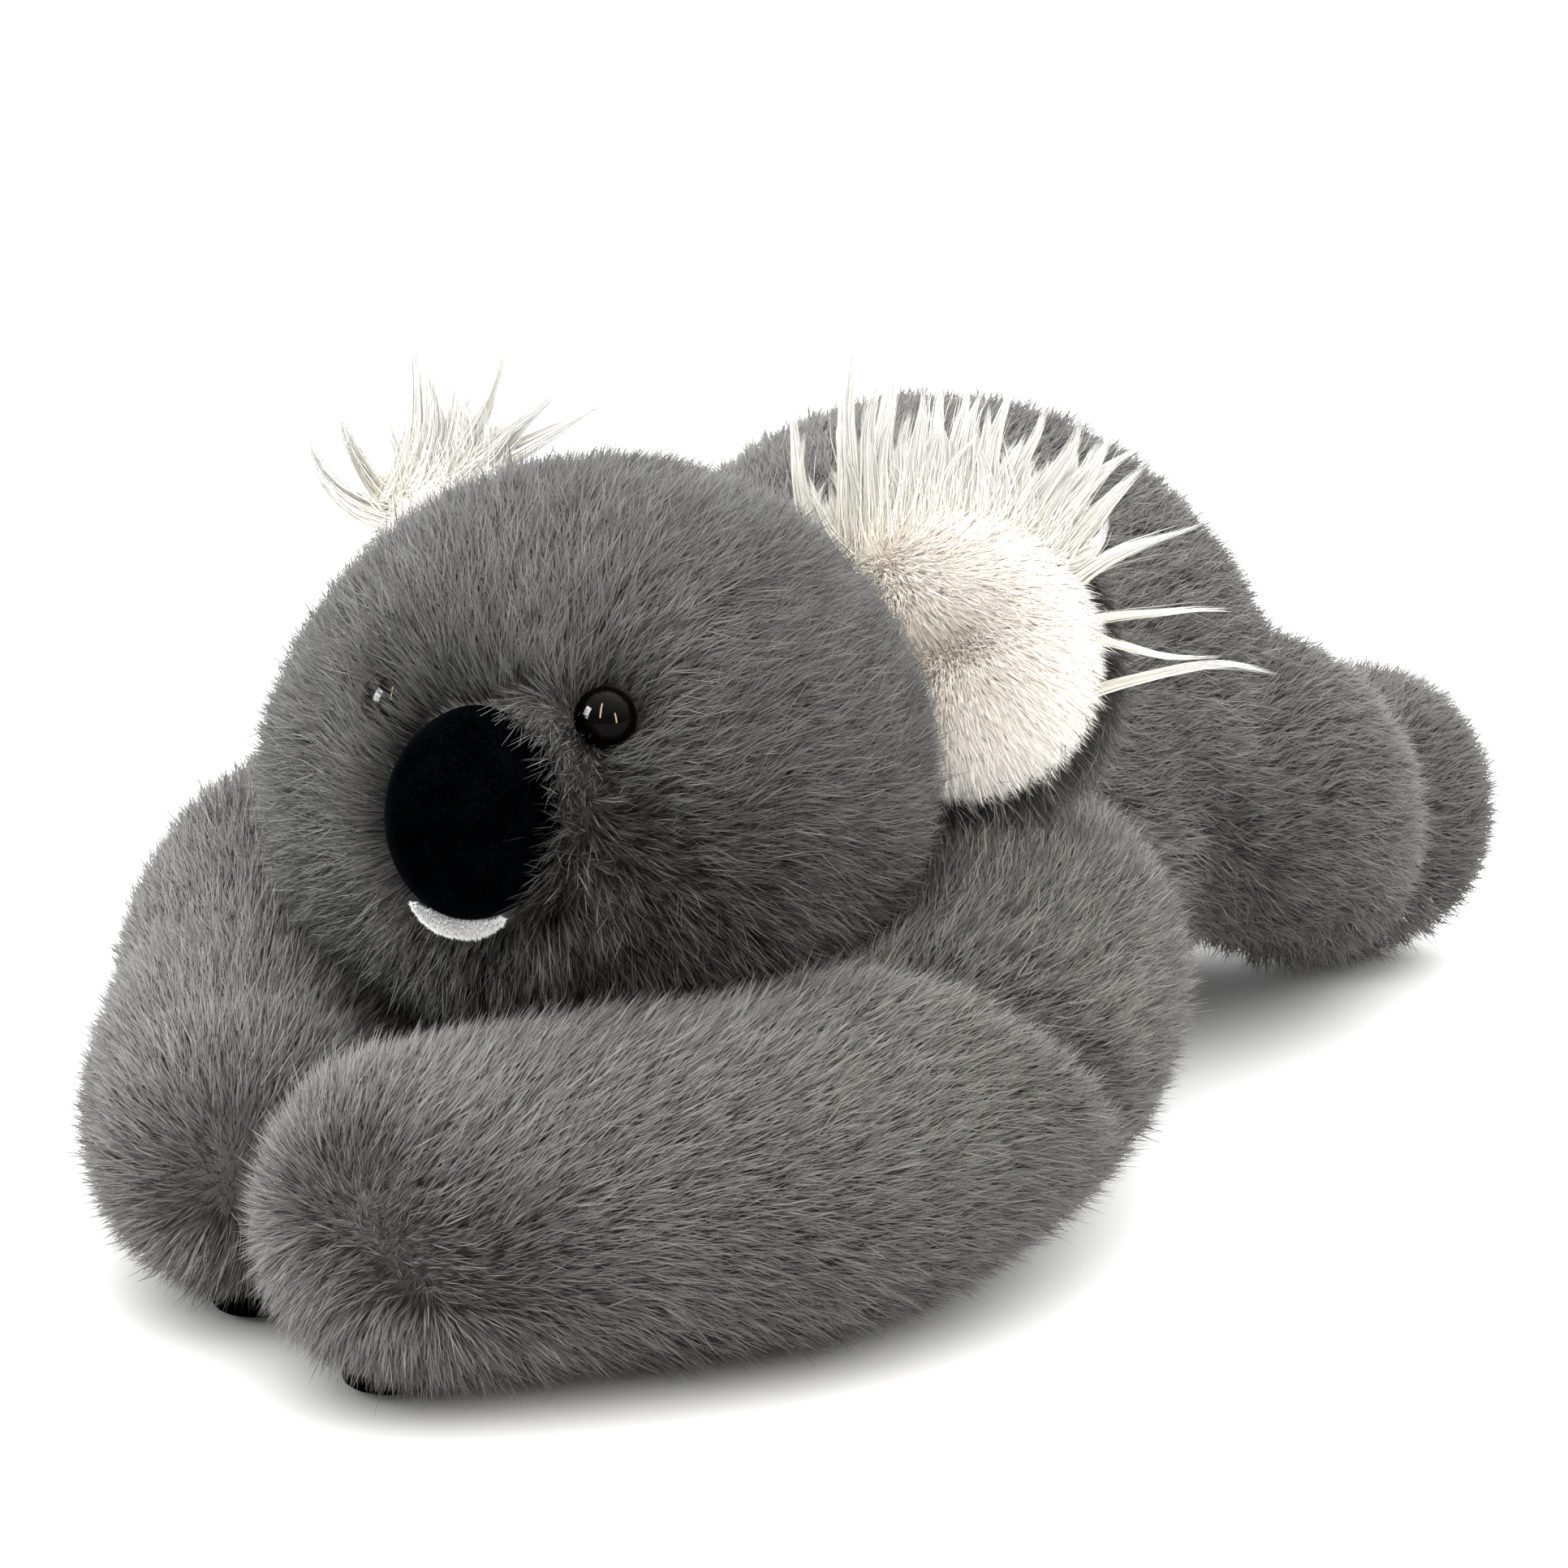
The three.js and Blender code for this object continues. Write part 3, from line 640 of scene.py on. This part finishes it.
WHITE_BACKING = backing_finish("white_backing", (0.50, 0.50, 0.49), (0.68, 0.68, 0.67))
WHITE_PILE = pile_finish(
    "white_pile",
    [(0.76, 0.76, 0.77), (0.86, 0.86, 0.87), (0.90, 0.91, 0.92)],
    [(0.86, 0.86, 0.87), (0.93, 0.93, 0.94), (0.96, 0.97, 0.98)],
    Roughness=0.7, Specular_IOR_Level=0.3)
dressed(skin("lip_plush", lip_surface, 36, 20, TUBE, LIP_PILE), "head", WHITE_BACKING, "lower_lip")
pile("lip_pile", lip_surface, "head", WHITE_PILE, strands=9000, length=LIP_PILE, lean=0.4,
     span=(-0.8, 1.8), seed=31, depth=LIP_PILE, width=0.00018, spread=0.0003)


# Eyes: domed buttons of polished, almost black plastic, each in a dimple of the head.
# A washer behind the skin grips the button's shank.
EYE_RADIUS = 0.007
gloss = Finish("eye_gloss", Roughness=0.03, Specular_IOR_Level=0.04)
depths = gloss.noise(160.0, Detail=2.0)
gloss.feed("Base Color", gloss.mix(depths, (0.0003, 0.0002, 0.0002, 1), (0.0014, 0.0008, 0.0006, 1)))
for word, side in (("left", 1), ("right", -1)):
    button = placed(cushion(EYE_RADIUS, EYE_RADIUS, front=0.006, back=EYE_RADIUS, power=2), *EYE_SEATS[side])
    eye = skin(f"{word}_eye_button", button, 40, 48, CUSHION)
    eye.data.materials.append(gloss.material)
    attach(eye, "head")
    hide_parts(f"{word}_eye")


# Front arms: tapered stuffed tubes sewn to the body, bent at the elbow, the left one across in front.
# Their pile is brushed from the paw back to the shoulder, so that it parts in a whorl at the paw's end.
ARM_SIZES = dict(root=-0.081, reach=-0.200, wide=0.084, tall=0.084, rise=0.020)
ARM_ROWS = {
    1: [(0.62, 0, 1, 0.92, 0.92), (0.88, 0.24, 0.80, 1, 1), (0.96, 0.48, 0.30, 1, 1),
        (0.80, 0.74, 0, 1, 1), (0.42, 0.94, 0, 0.98, 0.98), (0.13, 1.06, 0, 0.94, 0.94)],
    -1: [(0.70, 0, 0.8, 0.97, 0.95), (1.06, 0.22, 0.8, 1.08, 1.03), (1.07, 0.46, 0.8, 1.05, 1.05),
         (0.88, 0.68, 0.18, 0.98, 1), (0.73, 0.84, 0, 0.94, 0.96), (0.60, 0.92, 0, 0.88, 0.90)],
}
ARM_STRANDS = {1: 182000, -1: 112000}
ARM_SPAN = 0.088
PAW_WHORLS = {1: [(0.009, -0.330, 0.048), (0.034, -0.323, 0.030)],
              -1: [(-0.038, -0.298, 0.034), (-0.030, -0.292, 0.018)]}
ELBOW_PLACE, ELBOW_SLANT, SLANT_LENGTH = -0.1374, 0.8, 1.28


def creased(surface, fold):
    """The same surface, pressed in by fold(point) metres, or swollen where that is negative."""
    return lambda along, turn, depth=0.0: surface(along, turn, depth + fold(surface(along, turn)))


def past_elbow(point):
    """How far back along y a point is from the elbow's slanting plane."""
    return point[:, 1] + ELBOW_SLANT * point[:, 2] - ELBOW_PLACE


def elbow_fold(point):
    """The bend of the left elbow: a groove 8 mm deep over its top and outer side, which leans back as it goes
    down, and a 2.5 mm swelling of the forearm in front of it. Each is exp(-(distance / width)^2) across the bend."""
    across = past_elbow(point) / SLANT_LENGTH
    shown = rising(point[:, 2], 0.030, 0.03) * rising(point[:, 0], 0.065, 0.02)
    return shown * (0.008 * np.exp(-((across / 0.006) ** 2)) - 0.0025 * np.exp(-(((across + 0.014) / 0.010) ** 2)))


for word, side in (("left", 1), ("right", -1)):
    arm_centres, arm_halves = laid_out(ARM_ROWS[side], span=side * ARM_SPAN, **ARM_SIZES)
    arm_surface = stuffed(arm_centres, arm_halves)
    if side > 0:
        arm_surface = creased(arm_surface, elbow_fold)
    dressed(skin(f"{word}_arm_plush", arm_surface, 80, 56, TUBE, BACKING_DEPTH), f"{word}_arm",
            GREY_BACKING, f"{word}_arm_skin")
    paw_end = PAW_WHORLS[side]
    # The whorl at the paw's end is darkened with painted shade
    paw_whorl = parted([(*paw_end, 0.016 + 0.002 * side, 1.2, 0.36 + 0.06 * side), (*paw_end, 0.060, 1.6, 0),
                        (*paw_end, 0.2, 0.8, 0)])

    def brushed_back(point, normal, comb, whorl=paw_whorl, side=side):
        """Parted at the paw. Painted light makes the upper arm paler, and a painted shadow makes it darker on its
        inner side, beside the head.
        """
        comb, scale, stoop, painted_shading = whorl(point, normal, comb)
        upper = rising(past_elbow(point), 0, 0.013)
        shadow_beside_head = falling(side * point[:, 0], 0.120, 0.016)
        return comb, scale, stoop, painted_shading + upper * (0.10 - 0.50 * shadow_beside_head)

    pile(f"{word}_arm_pile", arm_surface, f"{word}_arm", GREY_PILE, strands=ARM_STRANDS[side],
         length=0.0115, lean=0.90, span=(-0.9, 1.985), seed=41 + side, brushed=-1, steer=brushed_back,
         hidden=lambda point: in_head(point) | in_body(point))

    # Paw pad: an oval of black velvet let into the underside of the paw, which it faces downwards
    pad_origin = np.array([arm_centres[-1, 0] - side * 0.006, arm_centres[-1, 1], 0.003])
    pad_surface = placed(cushion(0.013, 0.017, front=0.0024, back=0.006, power=2.6), np.diag([1.0, -1.0, -1.0]),
                         pad_origin)
    dressed(skin(f"{word}_paw_velvet", pad_surface, 20, 40, CUSHION), f"{word}_arm", BLACK_VELVET,
            f"{word}_paw_pad")


# Hind legs: short stuffed tubes of the grey plush, a thigh lobe folded in front of the foot.
# Each is sewn to the body beside the rump, and its pile is brushed back to the foot.
LEG_SIZES = dict(root=0.010, reach=0.112, wide=0.092, tall=0.092, rise=0.092)
LEG_SPAN = 0.078
LEG_ROWS = [(0.72, 0, 0.34, 0.84, 0.84), (0.84, 0.28, 0.24, 1, 1), (0.84, 0.52, 0.10, 0.96, 1),
            (0.84, 0.72, 0.01, 0.84, 0.94), (0.91, 1, 0, 0.84, 0.94)]


def thigh_fold(point):
    """A groove 4 mm deep round the leg, where the thigh ends and the foot begins, bowed back at half height."""
    return 0.004 * np.exp(-(((point[:, 1] - 0.094 + 4 * (point[:, 2] - 0.045) ** 2) / 0.009) ** 2))


for word, side in (("left", 1), ("right", -1)):
    leg_surface = creased(stuffed(*laid_out(LEG_ROWS, span=side * LEG_SPAN, **LEG_SIZES)), thigh_fold)
    dressed(skin(f"{word}_leg_plush", leg_surface, 70, 56, TUBE, BACKING_DEPTH), f"{word}_leg",
            GREY_BACKING, f"{word}_leg_skin")
    pile(f"{word}_leg_pile", leg_surface, f"{word}_leg", GREY_PILE, strands=66000, length=0.0115,
         lean=0.95, span=(-0.95, 1.98), seed=51 + side, steer=parted([hip_crease(side)]), hidden=in_body)


# Ears: a back of the grey plush and a lining of cream plush, sewn face to face round the rim.
# A strip of long white pile is caught in the seam along the top and outer rim.
EAR_HALF = np.array([0.036, 0.037])
EAR_PLACE = np.array([0.070, 0.060, 0.014])
EAR_TUCK = {1: 0.0, -1: 0.018}
EAR_TURN, EAR_TILT = 0.15, -0.15
FACING_FORWARD = np.array([[1, 0, 0], [0, 0, -1], [0, 1, 0]], float)
EAR_MATRIX = turned(EAR_TURN, "z") @ turned(EAR_TILT, "x") @ FACING_FORWARD
EAR_ROOT = [-0.022, 0.026, 0]
LINING_HALF = EAR_HALF * 0.88
LINING_SHIFT = [0, 0.0025, 0.0003]
EAR_DEPTH = 0.003
CREAM_BACKING = backing_finish("cream_backing", (0.62, 0.54, 0.44), (0.74, 0.67, 0.58))
CREAM_PILE = pile_finish(
    "cream_pile",
    [(0.74, 0.62, 0.52), (0.88, 0.80, 0.72), (0.93, 0.88, 0.82)],
    [(0.93, 0.87, 0.80), (0.96, 0.92, 0.87), (0.97, 0.95, 0.92)],
    Roughness=0.7, Specular_IOR_Level=0.3)
# Cream at the root; the roots are painted paler than the tips, painted light against the shade the locks cast on
# each other
LONG_PILE = pile_finish(
    "long_white_pile",
    [(0.52, 0.48, 0.39), (0.44, 0.43, 0.386), (0.41, 0.41, 0.39)],
    [(0.97, 0.95, 0.86), (0.92, 0.91, 0.86), (0.89, 0.89, 0.87)],
    Roughness=0.5, Specular_IOR_Level=0.4)
# Millimetres in the plane of the ear: root across and up, tip across and up, sideways bow, half thickness
LOCKS = {
    1: [(-31, 23, -40, 60, 4, 1.6), (-26, 25, -37, 43, 2, 1.3), (-27, 28, -28, 79, 0, 2.2),
        (-24, 28, -30, 58, 1, 1.6), (-21, 30, -18, 77, 1, 2.1), (-18, 31, -17, 61, 1, 1.8),
        (-13, 33, -11, 64, -1, 2.1), (-9, 33, -6, 66, 0, 2.2), (-5, 34, 1, 65, 1, 2.1),
        (-1, 34, 4, 63, 1, 2.0), (5, 34, 10, 65, 1, 2.1), (9, 33, 19, 61, 1, 1.4),
        (13, 32, 28, 59, -1, 2.0), (17, 31, 35, 55, -1, 2.1), (19, 29, 38, 51, 1, 2.0), (22, 26, 41, 48, -1, 2.0),
        (22, 24, 38, 44, 1, 1.6), (25, 19, 56, 35, 2, 1.3), (29, 11, 62, 14, 2, 0.8), (32, 8, 60, 4, -1, 0.6),
        (32, -5, 73, 1, 3, 0.9)],
    -1: [(28, 25, 50, 46, -7, 2.8), (27, 28, 40, 50, -4, 2.4), (27, 29, 31, 75, 8, 3.2), (21, 33, 17, 64, 3, 2.6),
         (18, 34, 13, 64, 5, 2.4), (14, 34, 8, 58, 1, 2.2), (11, 34, -6, 69, -1, 1.8), (11, 34, -18, 60, -1, 2.6),
         (4, 36, -31, 57, -2, 2.0), (8, 35, -8, 50, 0, 2.0), (24, 28, 30, 50, 1, 2.0), (14, 33, 6, 52, 0, 2.2)],
}


def between(rows, each, seed):
    """Shorter locks that fill a crown: each is a random mix of two neighbouring rows, 35 to 78% as long, rooted up
    to an eighth nearer the ear's middle, with its tip a few millimetres off."""
    rng = np.random.default_rng(seed)
    share = rng.random((each * (len(rows) - 1), 1))
    mixed = np.repeat(rows[:-1], each, 0) * (1 - share) + np.repeat(rows[1:], each, 0) * share
    mixed[:, :2] *= rng.uniform(0.88, 1.0, (len(mixed), 1))
    mixed[:, 2:4] = mixed[:, :2] + (mixed[:, 2:4] - mixed[:, :2]) * rng.uniform(0.35, 0.78, (len(mixed), 1))
    mixed[:, 2:4] += 0.0022 * rng.normal(size=(len(mixed), 2))
    mixed[:, 4] += 0.0015 * rng.normal(size=len(mixed))
    return mixed


def locks(name, rows, dense, matrix, origin, seed, alone=()):
    """Long pointed locks of fine pile. A strand's place at share s of its length is the lock's line from root to
    tip, plus its bow times 4 s (1 - s) and a small wave sideways, plus the strand's offset times (1 - s)^0.85, so
    that the lock narrows to a point. Few strands reach that far, and one in fourteen strays. Each lock leans
    forward or back a little, and the rows that stand alone are painted darker: painted shade. A strand is a
    ribbon of five pieces, and dense counts them for each metre of a lock's half thickness."""
    rng = np.random.default_rng(seed)
    roots, bows, thickness = rows[:, :2], rows[:, 4], rows[:, 5]
    lock = np.repeat(np.arange(len(rows)), (dense * thickness).astype(int))
    count = len(lock)
    steps = 6
    aim = (rows[:, 2:4] - roots) * 1.10
    span = np.linalg.norm(aim, axis=1)
    beside = np.stack([-aim[:, 1], aim[:, 0]], 1) / span[:, None]
    share = np.linspace(0, 1, steps)[None] * (1 - 0.6 * rng.random((count, 1)) ** 1.3)
    stray = np.where(rng.random((count, 1)) < 0.07, 0.0022, 0.0003)
    phase = rng.uniform(0, 2 * math.pi, len(rows))[lock][:, None]
    wave = 0.03 * span[lock][:, None] * share * np.sin(2 * math.pi * share + phase)
    swing = bows[lock][:, None] * 4 * share * (1 - share) + wave + stray * rng.normal(size=(count, 1)) * share
    narrowing = (1 - share) ** 0.85
    offset = (thickness[lock] * np.clip(rng.normal(size=count), -1.6, 1.6))[:, None] * narrowing
    level = 0.0022 + (0.0011 * rng.normal(size=count))[:, None] * narrowing
    level = level + (0.09 * rng.normal(size=len(rows)) * span)[lock][:, None] * share**1.5
    line = roots[lock][:, None] + aim[lock][:, None] * share[..., None]
    flat_path = line + beside[lock][:, None] * (swing + offset)[..., None]
    path = np.concatenate([flat_path, level[..., None]], 2) @ matrix.T + origin
    roll = rng.normal(size=count) * 0.7
    across = np.column_stack([beside[lock] * np.cos(roll)[:, None], np.sin(roll)]) @ matrix.T
    half_width, thinning = 0.00011, 0.6
    half = half_width * (1 - thinning * np.linspace(0, 1, steps)[None, :-1, None] ** 2) * across[:, None]
    sides = np.stack([path[:, :-1] - half, path[:, :-1] + half], 2).reshape(count, -1, 3)
    points = np.concatenate([sides, path[:, -1:]], 1)
    each = 2 * (steps - 1) + 1
    corner = np.arange(count)[:, None] * each
    rungs = np.concatenate([np.array([0, 1, 3, 2]) + 2 * k for k in range(steps - 2)])
    last = corner + np.array([each - 3, each - 2, each - 1])
    piece = mesh_piece(name, points.reshape(-1, 3), [(corner + rungs).reshape(-1, 4), last], smooth=False)
    # Rows that stand alone are painted darker: painted shade
    shade = np.clip(0.54 - 0.38 * np.isin(lock, alone) + 0.08 * rng.normal(size=count), 0.05, 0.95)
    rise = np.linspace(0.03, 0.97, steps)
    lower, upper = np.tile(rise[:-2], (count, 1)), np.tile(rise[1:-1], (count, 1))
    left, right = (np.tile(shade[:, None] + aside, (1, steps - 2)) for aside in (-0.02, 0.02))
    quads = np.stack([left, lower, right, lower, right, upper, left, upper], 2)
    ends = np.stack([left[:, 0], upper[:, -1], right[:, 0], upper[:, -1], shade, np.full(count, rise[-1])], 1)
    return piece, np.concatenate([quads.ravel(), ends.ravel()])


def in_ear_root(point):
    """True for points so deep inside the head that an ear is sewn in there."""
    return in_head(point, 0.010)


for word, side in (("left", 1), ("right", -1)):
    ear_matrix, ear_origin = on_head(EAR_MATRIX, EAR_PLACE - [EAR_TUCK[side], 0, 0], side)
    back_surface = placed(cushion(*EAR_HALF, front=0.002, back=0.012, power=2), ear_matrix, ear_origin)
    lining_origin = ear_origin + ear_matrix @ LINING_SHIFT

    def lining_fold(point, matrix=ear_matrix, origin=lining_origin):
        """A dent 8 mm deep from the ear's root outwards and up, which leaves an upper and a lower lobe. Across it
        runs exp(-(height above its line / 7 mm)^2), and along it a straight fall to nothing."""
        across, up, _ = ((point - origin) @ matrix).T
        above = up + 0.002 - 0.4 * (across + 0.02)
        return 0.008 * np.exp(-((above / 0.007) ** 2)) * falling(across, 0.018, 0.030)

    def down_and_out(point, normal, comb, matrix=ear_matrix, origin=ear_origin):
        """Pile brushed from the ear's root near the head outwards and down, longer low down and painted paler there:
        painted light.
        """
        away = flattened(point - (origin + matrix @ EAR_ROOT), normal)
        long = 1 + 0.6 * falling((point - origin) @ matrix[:, 1], 0, EAR_HALF[1])
        return unit(unit(away) + 0.2 * comb), long, np.ones(len(point)), 0.8 * (long - 1)

    def fluffed(point, normal, comb, matrix=ear_matrix, origin=lining_origin, fold=lining_fold):
        """The same way for the lining, but more upright and paler overall; painted light makes it paler still at its
        rim, and painted shade darker in the dent and towards its top.
        """
        comb, long, stoop, painted_shading = down_and_out(point, normal, comb)
        across, up, _ = ((point - origin) @ matrix / EAR_HALF[0]).T
        ring = np.clip(np.hypot(across, up), 0, 1) ** 2
        painted_shading += 0.4 * ring - 36 * fold(point) + 0.25 - 0.35 * np.clip(up, 0, 1)
        return comb, 0.9 + 0.4 * ring, stoop * (0.8 + 0.2 * ring), painted_shading

    lining = placed(cushion(*LINING_HALF, front=0.014, back=0.001, power=2.3), ear_matrix, lining_origin)
    lining_surface = creased(lining, lining_fold)
    dressed(skin(f"{word}_ear_plush", back_surface, 40, 56, CUSHION, EAR_DEPTH), f"{word}_ear",
            GREY_BACKING, f"{word}_ear_back")
    pile(f"{word}_ear_pile", back_surface, f"{word}_ear", GREY_PILE, strands=26000, length=0.0095,
         lean=0.9, span=(-0.98, 0.06), seed=61 + side, depth=EAR_DEPTH, steer=down_and_out, hidden=in_ear_root)
    dressed(skin(f"{word}_ear_cream", lining_surface, 40, 56, CUSHION, EAR_DEPTH), f"{word}_ear",
            CREAM_BACKING, f"{word}_ear_lining")
    pile(f"{word}_ear_cream_pile", lining_surface, f"{word}_ear", CREAM_PILE, strands=42000,
         length=0.0075, lean=0.8, span=(-0.25, 0.998), seed=71 + side, brushed=-1, depth=0.004, width=0.00024,
         steer=fluffed, hidden=in_ear_root)

    # The left crown leaves out the low locks, the right one its two hooks, which stand alone with painted shade, and
    # four others
    long_locks = np.array(LOCKS[side]) / 1000
    crown, each = (long_locks[:17], 5) if side > 0 else (long_locks[[2, 3, 4, 5, 7, 9]], 6)
    tuft, places = locks(f"{word}_ear_long_pile", np.vstack([long_locks, between(crown, each, 91 + side)]), 68000,
                         ear_matrix, ear_origin, 93 + side, alone=[] if side > 0 else [0, 1])
    finished_strands(tuft, places, f"{word}_ear", LONG_PILE)
    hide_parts(f"{word}_ear_tuft")

    # Shorter pile along the rim, between the locks, hides their roots
    rng = np.random.default_rng(101 + side)
    tufts = 110
    angle = rng.uniform(0.7, 2.5 if side > 0 else 1.6, tufts)
    rim = EAR_HALF * np.stack([np.cos(angle), np.sin(angle)], 1) * rng.uniform(0.80, 0.95, (tufts, 1))
    up_and_out = np.stack([0.45 * np.cos(angle) + 0.2 * rng.normal(size=tufts), np.ones(tufts)], 1)
    fluff_rows = np.column_stack([rim, rim + up_and_out * rng.uniform(0.010, 0.022, (tufts, 1)),
                                  0.0012 * rng.normal(size=tufts), np.full(tufts, 0.0020)])
    fluff, places = locks(f"{word}_ear_short_pile", fluff_rows, 20000, ear_matrix, ear_origin, 111 + side)
    finished_strands(fluff, places, f"{word}_ear", LONG_PILE)


# Held inside: polyester filling in body, head, nose and limbs, pushed in before the last seams are closed.
# The washers on the eyes' shanks are moulded plastic.
filling = Finish("fibre_filling", Roughness=1.0)
fibres = filling.noise(260.0, Detail=5.0, Distortion=1.5)
filling.feed("Base Color", filling.mix(fibres, (0.62, 0.62, 0.58, 1), (0.84, 0.84, 0.80, 1)))
filling.feed("Normal", filling.node("ShaderNodeBump", Height=fibres, Strength=0.8, Distance=0.002)[0])
moulded = Finish("moulded_washer", Roughness=0.45)
clouding = moulded.noise(400.0, Detail=2.0)
moulded.feed("Base Color", moulded.mix(clouding, (0.76, 0.76, 0.73, 1), (0.86, 0.86, 0.84, 1)))
for name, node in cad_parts.items():
    if name.endswith(("stuffing", "padding", "washer")):
        node.data.materials.clear()
        node.data.materials.append(moulded.material if name.endswith("washer") else filling.material)

# The body's filling ends at the neck's seam here. The solid's reaches into the head, and would stand out of the
# plush under the chin when the head lifts. It lies under the pile and its backing.
FILLING_DEPTH = 0.0135
dressed(skin("body_filling", body_surface, 40, 40, TUBE, FILLING_DEPTH), "trunk", filling.material,
        "body_stuffing")


# The room: a plain pale floor under soft light from all round, brighter from above and from behind the toy and
# white at the horizon, with a weak sun. Three lamps that only show as reflections give the eyes their glints.
pale = Finish("pale_floor", Roughness=0.9, Specular_IOR_Level=0.1)
pale.feed("Base Color", pale.mix(pale.noise(2.0), (0.71, 0.71, 0.71, 1), (0.73, 0.73, 0.73, 1)))
room = 12.0
floor = mesh_piece("floor", np.array([[-room, -room, 0], [room, -room, 0], [room, room, 0], [-room, room, 0]]),
                   [np.array([[0, 1, 2, 3]])])
floor.data.materials.append(pale.material)

world = bpy.data.worlds.new("soft_room")
world.use_nodes = True
sky = world.node_tree
aim = sky.nodes.new("ShaderNodeSeparateXYZ")
sky.links.new(sky.nodes.new("ShaderNodeTexCoord").outputs["Generated"], aim.inputs[0])
_, from_behind, from_above = (Wire(sky, output) for output in aim.outputs)
at_horizon, overhead, more_behind = 0.35, 4.4, 0.5
brightness = (from_above.maths("MAXIMUM", from_above, 0.0) * overhead + at_horizon) * (from_behind * more_behind + 1)
plug(sky, sky.nodes["Background"].inputs["Color"], brightness.maths("MAXIMUM", brightness, 1.0))
bpy.context.scene.world = world


def lamp(name, kind, at, towards, **settings):
    """A light at a place, turned towards another."""
    light = bpy.data.lights.new(name, kind)
    for key, value in settings.items():
        setattr(light, key, value)
    holder = bpy.data.objects.new(name, light)
    bpy.context.scene.collection.objects.link(holder)
    holder.location = at
    direction = np.array(towards, float) - np.array(at, float)
    yaw, pitch = math.atan2(direction[0], -direction[1]), math.acos(-direction[2] / np.linalg.norm(direction))
    holder.rotation_euler = (pitch, 0, yaw + math.pi)
    return holder


LEFT_EYE = (0.031, -0.248, 0.142)
lamp("overhead", "SUN", (0.5, 1.6, 2.6), (0, 0, 0), energy=0.3, angle=1.0)
for name, at, energy, wide, high, colour in (
        ("catch_light", (-0.82, -1.20, 0.75), 300.0, 0.60, 0.85, (1, 1, 1)),
        ("left_strip", (0.316, -1.31, 1.16), 100.0, 0.12, 1.3, (1, 0.8, 0.5)),
        ("right_strip", (1.36, -0.80, 0.56), 60.0, 0.12, 0.8, (1, 0.8, 0.5))):
    light = lamp(name, "AREA", at, LEFT_EYE, energy=energy, shape="RECTANGLE", size=wide, size_y=high, color=colour)
    light.visible_diffuse = False


# The camera stands where the photo was taken from, in front of the toy's left side and a little above.
# Its focal length was fitted in pixels of the photo's 1932-pixel frame.
CAMERA_AZIMUTH, CAMERA_ELEVATION = math.radians(27), math.radians(14)
CAMERA_TARGET = np.array([0.0213, -0.141, 0.103])
CAMERA_DISTANCE = 1.2
FRAME_PIXELS, FOCAL_PIXELS = 1932, 6150
camera = bpy.data.cameras.new("camera")
camera.sensor_width = 36
camera.lens = camera.sensor_width * FOCAL_PIXELS / FRAME_PIXELS
eye_point = bpy.data.objects.new("camera", camera)
bpy.context.scene.collection.objects.link(eye_point)
eye_point.location = CAMERA_TARGET + CAMERA_DISTANCE * np.array([
    math.sin(CAMERA_AZIMUTH) * math.cos(CAMERA_ELEVATION),
    -math.cos(CAMERA_AZIMUTH) * math.cos(CAMERA_ELEVATION),
    math.sin(CAMERA_ELEVATION)])
eye_point.rotation_euler = (math.pi / 2 - CAMERA_ELEVATION, 0, CAMERA_AZIMUTH)
bpy.context.scene.camera = eye_point
bpy.context.scene.view_settings.view_transform = "Standard"
